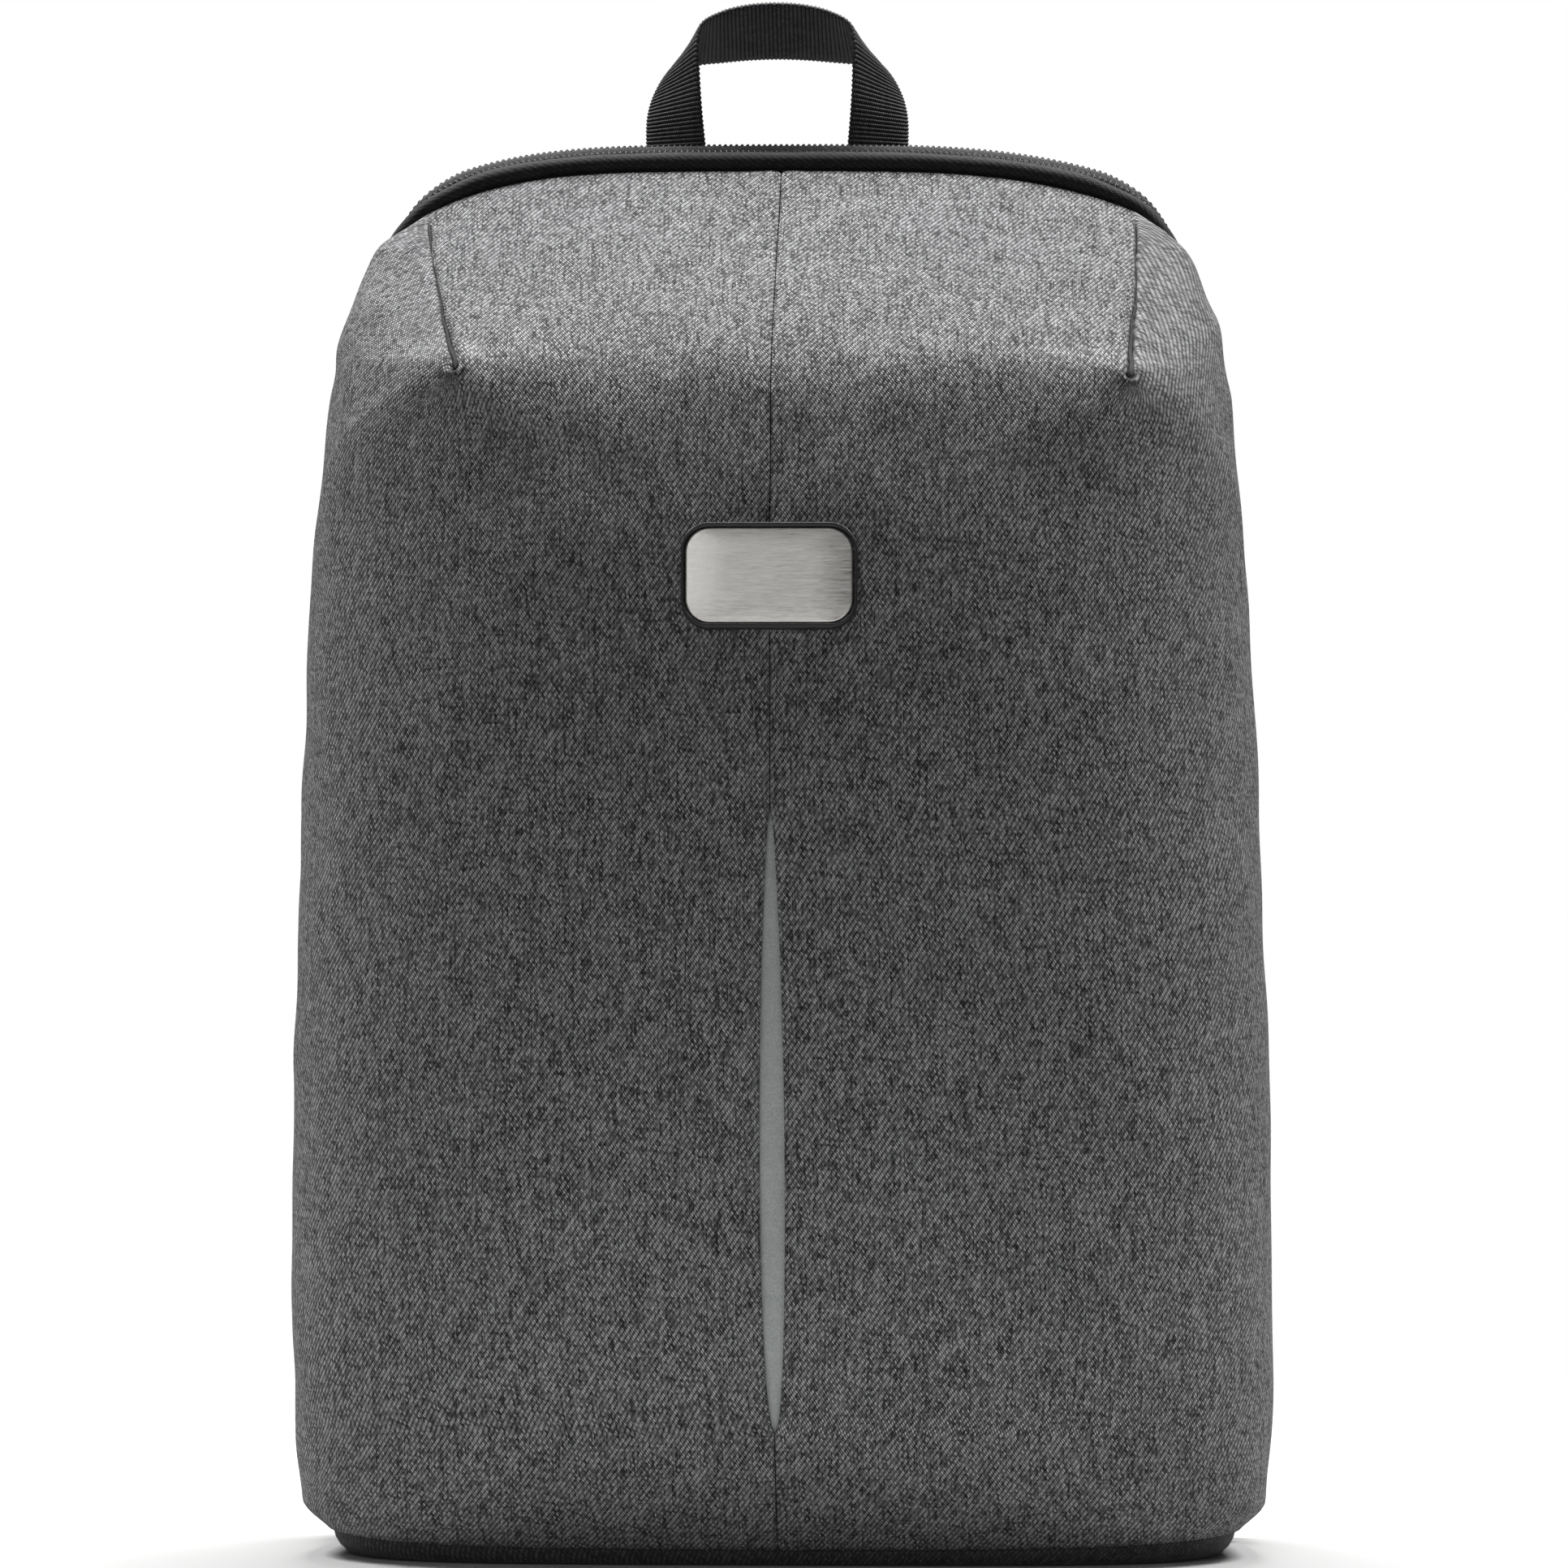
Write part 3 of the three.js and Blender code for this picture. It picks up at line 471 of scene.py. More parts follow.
# %% Relief
rng = np.random.default_rng(7)
WAVES = [
    # across and along wavelengths of a soft unevenness, and its height
    (70, 95, 0.35), (41, 60, 0.25), (120, 38, 0.22), (26, 33, 0.10), (17, 52, 0.07),
]
PUCKERS = {"left": 0.07, "right": 0.16}  # height of the short puckers beside each dart


def unevenness(u, v, phases):
    """A sum of sine products with the wavelengths of WAVES."""
    return sum(
        height * np.sin(2 * np.pi * u / wide + a) * np.sin(2 * np.pi * v / tall + b)
        for (wide, tall, height), (a, b) in zip(WAVES, phases)
    )


def bump(x, centre, width):
    """A bell of height 1: exp(-((x - centre) / width)^2)."""
    return np.exp(-(((x - centre) / width) ** 2))


def dart_relief(half, e, v):
    """Groove along the dart, pillows beside it and a dimple with a lip where it ends; e is across it, v along."""
    up = v - CREASE_LENGTH
    sewn = ease(up, -4, 3) * ease(-up, -101, -90)
    near_end = 1 - ease(up, 0, 55)
    groove = -(1.7 + 1.2 * near_end) * bump(e, 0, 0.5 + 0.45 * near_end)
    pillow = (0.25 + 0.45 * near_end) * (bump(e, 3.2, 2.4) + bump(e, -3.2, 2.4))
    ripple = PUCKERS[half] * np.sin(2 * np.pi * (v + 0.7 * np.abs(e)) / 1.9) * bump(np.abs(e), 2.4, 2.2)
    puckers = ripple * ease(up, 8, 16) * ease(-up, -62, -45)
    dimple = -2.2 * bump(e, 0, 1.2) * bump(up, -0.5, 2.2)
    lip = 0.7 * bump(np.hypot(e, 1.1 * (up + 0.5)), 3.4, 1.3) * ease(-up, -2, 2)
    return sewn * (groove + pillow + puckers) + dimple + lip


def seam_relief(u, z, v):
    """The edge rolls in towards the seam, tighter along the slit, with slight puckers from the stitches."""
    opened = ease(slit_half(z), 0.2, 1.2)
    radius = 1.1 + 0.3 * opened
    roll = -(0.6 + 0.4 * opened) * np.clip(1 - u / radius, 0, 1) ** 2
    pucker = 0.10 * np.sin(2 * np.pi * v / 7.3) + 0.08 * np.sin(2 * np.pi * v / 4.1 + 1)
    return roll + pucker * np.exp(-u / 4) * (1 - opened) + 0.2 * bump(u, 3.5, 2.5)


print("relief waves:", len(WAVES))

# %% [markdown]
# ## The cloth halves
# Each half is the surface plus its relief. Its UV map is measured in millimetres of cloth: across from the seam and
# along the seam's length, so the weave keeps its size everywhere. Outside a dart the cloth stands upright instead of
# lying on the slope, so those cells count from the rim and the fold, and the weave breaks at the dart as it does on
# a sewn bag. The arch is cut across the weave, so the weft stays level up to the rim. Below the fold the spare width
# is gathered towards the dart's end. At the seam the edge turns in and meets the other half, which closes the seam
# against light. Solidify then gives the cloth its thickness towards the inside.

# %% Cloth halves
CLOTH_THICK = 1.2
SIDE_HOLD = 290  # above this height the sides keep their yarns level with the rim
SHOULDER_CLOTH = 1.25  # millimetres of cloth for each millimetre of height outside the darts
GATHER_FROM = 315  # the height from which cloth is gathered towards the ends of the darts
DART_DEPTH = 0.7  # how deep the dark strip of painted shade lies in a dart's groove
SEAM_TURN = np.array([0.5, 1.2, 2.2, 3.4])  # how far the turned-in edge goes back at each of its columns


def surface_normals(points):
    """Unit normals of a grid: the cross product of its differences along rows and columns."""
    normal = np.cross(np.gradient(points, axis=1), np.gradient(points, axis=0))
    return normal / np.maximum(np.linalg.norm(normal, axis=-1, keepdims=True), 1e-9)


def cloth_half(half):
    """The grid of one half with its relief, the cloth position of each cell's corners, and its dart's sewn line."""
    sign = HALVES[half][0]
    z, s = np.meshgrid(row_z, column_s, indexing="ij")
    v = np.broadcast_to(row_length[:, None], z.shape)
    points = cloth_points(half, z, s)
    step = np.linalg.norm(np.diff(points, axis=1), axis=-1)
    run = np.concatenate([np.zeros((len(z), 1)), np.cumsum(step, axis=1)], axis=1)
    u = run[:, -1:] - run
    dart_column = int(np.argmin(np.abs(column_s - DART_S)))
    e = run - run[:, dart_column : dart_column + 1]
    phases = rng.uniform(0, 2 * np.pi, (len(WAVES), 2))
    relief = dart_relief(half, e, v) + seam_relief(u, z, v)
    calm = ease(run, 0, 12) * ease(TOP - z, 0, 8) * ease(z - FOOT, 0, 20)
    relief = calm * (relief + unevenness(u, v, phases)) + (1 - calm) * seam_relief(u, z, v)
    normal = surface_normals(points)
    normal *= np.sign(np.einsum("ijk,ijk->ij", normal, points - INSIDE).sum())
    upright = np.broadcast_to(column_s[:-1] + column_s[1:] < 2 * DART_S, (len(row_z) - 1, len(column_s) - 1))
    total = run[:, -1]
    held = np.where(row_z > SIDE_HOLD, np.interp(SIDE_HOLD, row_z, total), total)[:, None] - run
    gather = 1.2 * (1 - ease(z, GATHER_FROM, CREASE)) + 0.03
    front_u = held + (u - held) * np.where(z > CREASE, 1, ease(s, DART_S - gather, DART_S + gather))
    side_u = np.where(z > CREASE, held, front_u)
    side_v = np.minimum(v, CREASE_LENGTH) + np.maximum(z - CREASE, 0) * SHOULDER_CLOTH
    count = upright.shape
    level_v = np.interp(points[..., 2], points[:, -1, 2], row_length)
    lying = cell_corners(np.stack([sign * front_u, level_v], axis=-1), *count)
    standing = cell_corners(np.stack([sign * side_u, side_v], axis=-1), *count)
    sewn = (row_z > CREASE - 1.5) & (row_z < TOP - 4)
    dart_line = (points - DART_DEPTH * normal)[sewn, dart_column], normal[sewn, dart_column]
    points = points + normal * relief[..., None]
    turned = points[:, -1:] - normal[:, -1:] * SEAM_TURN[None, :, None]
    shut = (1 - ease(slit_half(row_z), 0.05, 0.5))[:, None] * np.minimum(SEAM_TURN / 1.2, 1)
    turned[..., 0] = points[:, -1:, 0] * (1 - shut) + sign * 0.04 * shut
    behind = np.stack([np.broadcast_to(-sign * SEAM_TURN, turned.shape[:2]), v[:, :4]], axis=-1)
    behind = cell_corners(np.concatenate([np.stack([0 * v[:, :1], v[:, :1]], axis=-1), behind], axis=1), count[0], 4)
    uv = np.concatenate([np.where(upright[..., None, None], standing, lying), behind], axis=1)
    return np.concatenate([points, turned], axis=1), uv, dart_line


halves, dart_lines = {}, {}
for half in HALVES:
    points, uv, dart_lines[half] = cloth_half(half)
    halves[half] = grid_piece(f"cloth_{half}", points, inside=INSIDE, uv=uv)
    thicken(halves[half], CLOTH_THICK)
    print(half, "half:", points.shape[:2], "points")

# %% [markdown]
# ## Weave groups
# Three kinds of cloth are on this bag, and all of them are yarns that cross. A shader node group works out such a
# weave once from the cloth position in millimetres and puts out a colour and a height; each material places it with
# its own two yarn colours. In the twill the yarns make slanting cells: one direction gives the visible ribs, the
# other the short floats on them. Every cell has its own shade, and longer streaks follow the thicker yarns.

# %% Group helper
def new_group(name, inputs, outputs):
    """An empty shader group with named sockets, and its input and output nodes."""
    group = bpy.data.node_groups.new(name, "ShaderNodeTree")
    for socket, kind in inputs.items():
        group.interface.new_socket(socket, in_out="INPUT", socket_type="NodeSocket" + kind)
    for socket, kind in outputs.items():
        group.interface.new_socket(socket, in_out="OUTPUT", socket_type="NodeSocket" + kind)
    return group, group.nodes.new("NodeGroupInput").outputs, group.nodes.new("NodeGroupOutput").inputs


WEAVE_IN = {"Position": "Vector", "Dark yarn": "Color", "Light yarn": "Color", "Streaks": "Float"}
WEAVE_OUT = {"Color": "Color", "Height": "Float"}


def yarn_cell(tree, first, second):
    """Cells of two phases: a hump cos(pi f) cos(pi g) in each cell, and a random number for each cell."""
    whole = [calc(tree, "ROUND", phase) for phase in (first, second)]
    part = [calc(tree, "SUBTRACT", phase, cell) for phase, cell in zip((first, second), whole)]
    wave = [calc(tree, "COSINE", calc(tree, "MULTIPLY", p, math.pi)) for p in part]
    cell = add_node(tree, "CombineXYZ", {0: whole[0], 1: whole[1]}).outputs[0]
    shade = add_node(tree, "TexWhiteNoise", {"Vector": cell}, noise_dimensions="2D").outputs["Value"]
    return calc(tree, "MULTIPLY", *wave), shade


def streak(tree, across, along, pitch, length):
    """Noise that changes from yarn to yarn (across, at this pitch) and slowly along each yarn; about -0.5 to 0.5."""
    yarn = calc(tree, "MULTIPLY", calc(tree, "ROUND", calc(tree, "DIVIDE", across, pitch)), 3.17)
    way = add_node(tree, "CombineXYZ", {0: yarn, 1: calc(tree, "DIVIDE", along, length)}).outputs[0]
    noise = add_node(tree, "TexNoise", {"Vector": way, "Scale": 1.0, "Detail": 1.0}, noise_dimensions="2D")
    return calc(tree, "SUBTRACT", noise.outputs[0], 0.5)


# %% Twill group
RIB_PHASE = (0.632, -0.43, 0)  # cycles for each millimetre across and along the cloth
FLOAT_PHASE = (1.264, 0.86, 0)
WARP_PITCH, WEFT_PITCH = 0.395, 0.58
WEFT_SHARE = 0.55  # how strongly the weft's streaks show, next to the warp's
twill, given, out = new_group("twill_weave", WEAVE_IN, WEAVE_OUT)
phases = [
    add_node(twill, "VectorMath", {0: given["Position"], 1: phase}, operation="DOT_PRODUCT").outputs["Value"]
    for phase in (RIB_PHASE, FLOAT_PHASE)
]
hump, shade = yarn_cell(twill, *phases)
x, y, _ = add_node(twill, "SeparateXYZ", {0: given["Position"]}).outputs
warp, weft = streak(twill, x, y, WARP_PITCH, 9), streak(twill, y, x, WEFT_PITCH, 7)
lines = calc(twill, "MULTIPLY", calc(twill, "MULTIPLY_ADD", weft, WEFT_SHARE, warp), given["Streaks"])
dot = calc(twill, "POWER", hump, 1.4)
bright = calc(twill, "MULTIPLY", dot, calc(twill, "MULTIPLY_ADD", shade, 1.0, 0.12))
level = calc(twill, "ADD", calc(twill, "ADD", bright, lines), 0.05, clamp=True)
twill.links.new(mix_colour(twill, level, given["Dark yarn"], given["Light yarn"]), out["Color"])
twill.links.new(calc(twill, "ADD", dot, calc(twill, "MULTIPLY", lines, 0.8)), out["Height"])
print("twill group:", len(twill.nodes), "nodes")

# %% [markdown]
# ## Grey twill
# The two cloth halves are heathered grey: nearly black and light grey yarns, so the cloth looks finely speckled from
# near and an even grey from afar. The cloth is matt, with the faint sheen of loose fibres at its edges.

# %% Materials from a weave
UNIT = 1000  # Object coordinates are metres, and the weaves count millimetres


def cloth_position(tree):
    """The UV map of a piece, which holds millimetres of cloth."""
    return add_node(tree, "UVMap", uv_map="cloth").outputs[0]


def object_position(tree):
    """Object coordinates in millimetres."""
    spot = add_node(tree, "TexCoord").outputs["Object"]
    return add_node(tree, "VectorMath", {0: spot, "Scale": UNIT}, operation="SCALE").outputs[0]


def woven(name, group, dark, light, relief, streaks=0.5, rough=0.85, sheen=0.1):
    """A cloth material: a weave group gives the colour and, as a bump of relief millimetres, the threads."""
    material, tree = new_material(name)
    weave = add_node(tree, "Group", node_tree=group)
    tree.links.new(cloth_position(tree), weave.inputs["Position"])
    weave.inputs["Dark yarn"].default_value = (*dark, 1)
    weave.inputs["Light yarn"].default_value = (*light, 1)
    weave.inputs["Streaks"].default_value = streaks
    threads = add_node(tree, "Bump", {"Height": weave.outputs["Height"], "Strength": 1.0, "Distance": relief / UNIT})
    surface = add_node(tree, "BsdfPrincipled", {
        "Base Color": weave.outputs["Color"], "Roughness": rough, "Sheen Weight": sheen,
        "Sheen Roughness": 0.5, "Specular IOR Level": 0.25, "Normal": threads.outputs[0],
    })
    add_node(tree, "OutputMaterial", {"Surface": surface.outputs[0]})
    return material


grey_twill = woven("grey_twill", twill, (0.015, 0.015, 0.016), (0.64, 0.64, 0.65), 0.22, streaks=0.5)
for half, piece in halves.items():
    finish_piece(piece, grey_twill, "grey_twill", f"front_panel_{half}")

# %% [markdown]
# ## The strip in the slit
# Behind the slit lies a smooth grey strip with tiny glass beads in it, which send light back and make it look lighter
# than the cloth. It is a plain band that follows the front a little behind the cloth, slightly crowned.

# %% Strip
STRIP = {"low": 29, "high": 229, "half": 9, "behind": 2.7, "crown": 0.5, "thick": 0.8}
z, x = np.meshgrid(np.linspace(STRIP["low"], STRIP["high"], 120), np.linspace(-1, 1, 15), indexing="ij")
strip_y = STRIP["behind"] - section("mid", z) + STRIP["crown"] * x ** 2
strip_points = np.stack([STRIP["half"] * x, strip_y, z], axis=-1)
strip_uv = cell_corners(strip_points[..., [0, 2]], 119, 14)
strip = grid_piece("grey_strip", strip_points, inside=np.array([0, 0, 130.0]), uv=strip_uv)
thicken(strip, STRIP["thick"])

# %% Beaded finish of the strip
beads, given, out = new_group("glass_beads", WEAVE_IN, WEAVE_OUT)
scaled = add_node(beads, "VectorMath", {0: given["Position"], "Scale": 3.2}, operation="SCALE").outputs[0]
dots = add_node(beads, "TexVoronoi", {"Vector": scaled, "Scale": 1.0}, voronoi_dimensions="2D")
cloud = add_node(beads, "TexNoise", {"Vector": given["Position"], "Scale": 0.25, "Detail": 3.0})
spark = add_node(beads, "SeparateColor", {0: dots.outputs["Color"]}).outputs[0]
tone = calc(beads, "MULTIPLY_ADD", spark, 0.55, calc(beads, "MULTIPLY", cloud.outputs[0], given["Streaks"]))
beads.links.new(mix_colour(beads, tone, given["Dark yarn"], given["Light yarn"]), out["Color"])
beads.links.new(calc(beads, "SUBTRACT", 1.0, dots.outputs["Distance"]), out["Height"])
reflective = woven(
    "grey_reflective", beads, (0.31, 0.33, 0.327), (0.56, 0.585, 0.58), 0.03, streaks=0.45, rough=0.45, sheen=0.0
)
finish_piece(strip, reflective, "reflective", "reflective_strip")

# %% [markdown]
# ## Badge
# A small metal plate sits in a dark frame across the seam. The frame is a narrow bar with rounded edges, carried
# round a rounded rectangle, a little wider above and below. The plate is a stack of shrinking rounded rectangles,
# so its edge gets a real chamfer that catches the light.

# %% Badge shapes
BADGE = {"z": 286, "width": 50.8, "height": 31, "radius": 8.2, "thick": 3, "stand_off": 0.9}
BADGE_RIM = {"side": 0.9, "brow": 1.3, "gap": 0.25, "step": 0.6}
SLOPE_STEP = 15  # the front's slope is measured this far below and above the badge's middle
badge_fall = section("mid", BADGE["z"] - SLOPE_STEP) - section("mid", BADGE["z"] + SLOPE_STEP)
badge_slope = math.atan2(float(badge_fall), 2 * SLOPE_STEP)
BADGE_UP = np.array([0, math.sin(badge_slope), math.cos(badge_slope)])
BADGE_OUT = np.array([0, -math.cos(badge_slope), math.sin(badge_slope)])
badge_origin = np.array([0, -float(softened("mid", BADGE["z"], FOLD_SPREAD)), BADGE["z"]])


def on_plane(origin, *axes):
    """A function that takes lengths along three axes of a small piece and gives points in bag coordinates."""
    return lambda *parts: origin + sum(np.multiply.outer(part, axis) for part, axis in zip(parts, axes))


def rounded_outline(width, height, radius, steps=14):
    """A rounded rectangle as four quarter arcs: points and their outward directions."""
    quarter = np.linspace(0, np.pi / 2, steps)
    angle = quarter[None] + np.arange(4)[:, None] * np.pi / 2
    way = np.stack([np.cos(angle), np.sin(angle)], axis=-1)
    sides = np.array([(1, 1), (-1, 1), (-1, -1), (1, -1)])[:, None]
    middle = sides * np.array([width / 2 - radius, height / 2 - radius])
    return (middle + radius * way).reshape(-1, 2), way.reshape(-1, 2)


on_badge = on_plane(badge_origin, np.array([1.0, 0, 0]), BADGE_UP, BADGE_OUT)
outline, way = rounded_outline(BADGE["width"], BADGE["height"], BADGE["radius"])
bar_width = BADGE_RIM["side"] * way[:, :1] ** 2 + BADGE_RIM["brow"] * way[:, 1:] ** 2
low, top = BADGE["stand_off"] - 0.7, BADGE["stand_off"] + BADGE["thick"]
bar_share = np.array([0, 0, 0.04, 0.14, 0.3, 0.7, 0.86, 0.96, 1, 1])
bar_height = np.array([low, top - 0.5, top - 0.24, top - 0.08, top, top, top - 0.08, top - 0.24, top - 0.5, low])
bar = outline[:, None] - way[:, None] * (bar_share[None, :, None] * bar_width[:, None])
rim_points = on_badge(bar[..., 0], bar[..., 1], np.broadcast_to(bar_height, bar.shape[:2]))
badge_rim = grid_piece("badge_rim", rim_points, tube=True, ring=True)

# %% Badge plate
inner = BADGE_RIM["side"] + BADGE_RIM["gap"], BADGE_RIM["brow"] + BADGE_RIM["gap"]
outline, _ = rounded_outline(
    BADGE["width"] - 2 * inner[0], BADGE["height"] - 2 * inner[1], BADGE["radius"] - inner[0]
)
face = BADGE["stand_off"] + BADGE["thick"] - BADGE_RIM["step"]
plate_rings = np.array([(1, face - 2.4), (1, face - 0.3), (0.988, face - 0.06), (0.97, face), (0.5, face)])
flat = plate_rings[:, None, :1] * outline[None]
plate_points = on_badge(flat[..., 0], flat[..., 1], np.broadcast_to(plate_rings[:, 1:], flat.shape[:2]))
badge_face = grid_piece(
    "badge_face", plate_points, tube=True, caps=BOTH_ENDS, inside=badge_origin - 4 * BADGE_OUT
)

# %% [markdown]
# ## Metal and plastic
# The plate is brushed along its length: thousands of fine lines that spread a highlight sideways. A noise that is
# stretched far along x gives those lines as small changes of roughness and height. The frame and the zip are satin
# plastic with a faint moulded grain.

# %% Grain groups
GRAIN_IN = {"Position": "Vector", "Fine": "Float", "Coarse": "Float"}
GRAIN_OUT = {"Tone": "Float", "Height": "Float"}
TONE_LOW, TONE_HIGH = 0.3, 0.7  # the noise seldom leaves this range
grain, given, out = new_group("fine_grain", GRAIN_IN, GRAIN_OUT)
fine = add_node(grain, "TexNoise", {"Vector": given["Position"], "Scale": given["Fine"], "Detail": 4.0})
coarse = add_node(grain, "TexNoise", {"Vector": given["Position"], "Scale": given["Coarse"], "Detail": 2.0})
grain.links.new(calc(grain, "MULTIPLY_ADD", fine.outputs[0], 0.6, calc(grain, "MULTIPLY", coarse.outputs[0], 0.4)),
                out["Tone"])
grain.links.new(fine.outputs[0], out["Height"])


def grained(name, dark, light, rough, stretch=(1, 1, 1), fine=4.0, coarse=0.3, relief=0.02, metal=0.0, specular=0.5):
    """Plastic or metal: a grain group shifts the colour between two tones, the roughness and a small bump."""
    material, tree = new_material(name)
    turned = add_node(tree, "Mapping", {"Vector": object_position(tree), "Scale": stretch}).outputs[0]
    group = add_node(tree, "Group", node_tree=grain)
    tree.links.new(turned, group.inputs["Position"])
    group.inputs["Fine"].default_value, group.inputs["Coarse"].default_value = fine, coarse
    tone = {"Value": group.outputs["Tone"], "From Min": TONE_LOW, "From Max": TONE_HIGH}
    spread = add_node(tree, "MapRange", {**tone, "To Min": rough[0], "To Max": rough[1]})
    wear = add_node(tree, "MapRange", tone).outputs[0]
    bumps = add_node(tree, "Bump", {"Height": group.outputs["Height"], "Strength": 1.0, "Distance": relief / UNIT})
    surface = add_node(tree, "BsdfPrincipled", {
        "Base Color": mix_colour(tree, wear, (*dark, 1), (*light, 1)), "Roughness": spread.outputs[0],
        "Metallic": metal, "Specular IOR Level": specular, "Normal": bumps.outputs[0],
    })
    add_node(tree, "OutputMaterial", {"Surface": surface.outputs[0]})
    return material


brushed = grained(
    "brushed_metal", (0.55, 0.535, 0.51), (0.97, 0.955, 0.92), (0.27, 0.43), (0.07, 1, 1), 5.0, 1.6, 0.018, 1.0
)
satin_black = grained("satin_black", (0.012, 0.012, 0.013), (0.02, 0.02, 0.021), (0.30, 0.42))
finish_piece(badge_rim, satin_black, "black_plastic", "badge_frame")
finish_piece(badge_face, brushed, "brushed_metal", "badge_plate")

# %% [markdown]
# ## The rim as a path
# Zip tape, coil and piping all follow the rim of the cloth: up the left side, over the arched top and down the right
# side. One path serves all of them. It is laid out at even steps and smoothed a little at the shoulders, and each
# point knows the direction that leads out of the bag.

# %% Rim path
RIM_START = 8.6  # the height where the path starts
RIM_STEP = 0.84  # half a pitch of the coil
ARCH_HALF = 106  # half the width of the arched top
SMOOTHED = 25  # points of the path that are averaged at each place


def even_path(points, step):
    """The same polyline with points at even lengths of about step, and the length at each."""
    length = run_lengths(points)
    at = np.linspace(0, length[-1], int(round(length[-1] / step)) + 1)
    return np.stack([np.interp(at, length, c) for c in points.T], axis=-1), at


def rim_side(half):
    """The rim of one side from the foot up: x = rim(z), height = z - drop."""
    sign, _, extra_drop = HALVES[half]
    z = np.linspace(RIM_START, TOP, 3000)
    return np.stack([sign * section("rim", z), z - section("drop", z) - extra_drop * section("dart", z)], axis=-1)


arch_x = np.linspace(-ARCH_HALF, ARCH_HALF, 1600)
arch_power = np.where(arch_x < 0, ARCH_POWER["left"], ARCH_POWER["right"])
arch = np.stack([arch_x, TOP - section("drop", TOP) * np.abs(arch_x / ARCH_HALF) ** arch_power], axis=-1)
rim, _ = even_path(np.concatenate([rim_side("left"), arch[1:-1], rim_side("right")[::-1]]), RIM_STEP)
kernel = np.exp(-np.linspace(-2, 2, SMOOTHED) ** 2)
padded_rim = np.pad(rim, ((SMOOTHED // 2, SMOOTHED // 2), (0, 0)), mode="reflect", reflect_type="odd")
rim = np.stack([np.convolve(c, kernel / kernel.sum(), mode="valid") for c in padded_rim.T], axis=-1)
rim, rim_length = even_path(rim, RIM_STEP)
ahead = np.gradient(rim, axis=0)
ahead /= np.linalg.norm(ahead, axis=1, keepdims=True)
rim_out = np.stack([-ahead[:, 1], ahead[:, 0]], axis=-1)
print(f"rim: {rim_length[-1]:.0f} mm in {len(rim)} points")

# %% [markdown]
# ## Zip tape and piping
# The tape rises from the cloth's edge to the padded back, steeply at the top of the bag and gently along the sides.
# It is a flat ribbon with rounded edges. The piping in front of it is a cord in a sleeve of black twill: a round
# tube. Both are one cross-section carried along the rim, with the cloth position as their UV map.

# %% Tape and piping shapes
TAPE = {"y0": 2.1, "y1": 12.9, "crown": 8.6, "side": 2.4, "thick": 1.2, "crown_inset": 2.5, "side_inset": 0.9}
TAPE_SIZE, TAPE_ROUND = (11, 0.6), 24  # the tape's width and half thickness, and the way round it, for its UV map
CROWN_ENDS = (92, 120)  # distances from the seam between which the steep top passes into the side
GAP = 0.4  # kept between neighbouring pieces
crown = 1 - ease(np.abs(rim[:, 0]), *CROWN_ENDS)
tape_rise = (TAPE["side"] + (TAPE["crown"] - TAPE["side"]) * crown) / (TAPE["y1"] - TAPE["y0"])
tape_inset = TAPE["side_inset"] + (TAPE["crown_inset"] - TAPE["side_inset"]) * crown
tape_stretch = np.hypot(1, tape_rise)


def beside_rim(rows, y, out):
    """Bag points y behind the rim and out from it, for the chosen rows of the path."""
    way = rim_out[rows][:, None] * out[..., None] + rim[rows][:, None]
    return np.stack([way[..., 0], y + 0 * out, way[..., 1]], axis=-1)


def tape_out(rows, y):
    """How far out the tape's middle is at a distance y behind the rim."""
    return tape_rise[rows][:, None] * (y - TAPE["y0"]) - tape_inset[rows][:, None]


def along_rim_uv(rows, around):
    """Cloth positions of a tube's cells: the way round its section, and the length along the rim."""
    across = np.broadcast_to(around[None], (len(rows), len(around)))
    along = np.broadcast_to(rim_length[rows][:, None], across.shape)
    return cell_corners(np.stack([across, along], axis=-1), len(rows) - 1, len(around) - 1)


rows = np.arange(0, len(rim), 2)
edge = np.array([(0, -1), (0.5, -1), (1, -1), (1.03, 0), (1, 1), (0.75, 1), (0.5, 1), (0.25, 1), (0, 1), (-0.03, 0)])
tape_y = TAPE["y0"] + (TAPE["y1"] - TAPE["y0"]) * edge[None, :, 0]
tape_lift = tape_out(rows, tape_y) + edge[None, :, 1] * TAPE["thick"] / 2 * tape_stretch[rows][:, None]
around = np.append(run_lengths(edge * TAPE_SIZE), TAPE_ROUND)
tape_points = beside_rim(rows, tape_y, tape_lift)
tape = grid_piece("rim_tape", tape_points, tube=True, caps=BOTH_ENDS, uv=along_rim_uv(rows, around))

# %% Piping
PIPING = {"y": 2.8, "radius": 2.9, "taper": 0.5, "grip": (88, 106), "sides": 22}
angle = full_turn(PIPING["sides"])[None]
uneven = 0.05 * np.sin(rim_length[rows] / 9.1) + 0.04 * np.sin(rim_length[rows] / 3.7 + 1)
gripped = ease(np.abs(rim[rows, 0]), *PIPING["grip"])  # the cloth grips it at the sides
slim = PIPING["radius"] - PIPING["taper"] * gripped
radius = (slim + uneven)[:, None]
piping_y = (PIPING["y"] - PIPING["radius"] + slim)[:, None]  # its front stays against the cloth's edge
centre = tape_out(rows, piping_y) + ((TAPE["thick"] / 2 + GAP + slim) * tape_stretch[rows])[:, None]
piping_points = beside_rim(rows, piping_y + radius * np.cos(angle), centre + radius * np.sin(angle))
around = np.linspace(0, 2 * np.pi * PIPING["radius"], PIPING["sides"] + 1)
piping = grid_piece("rim_piping", piping_points, tube=True, caps=BOTH_ENDS, uv=along_rim_uv(rows, around))
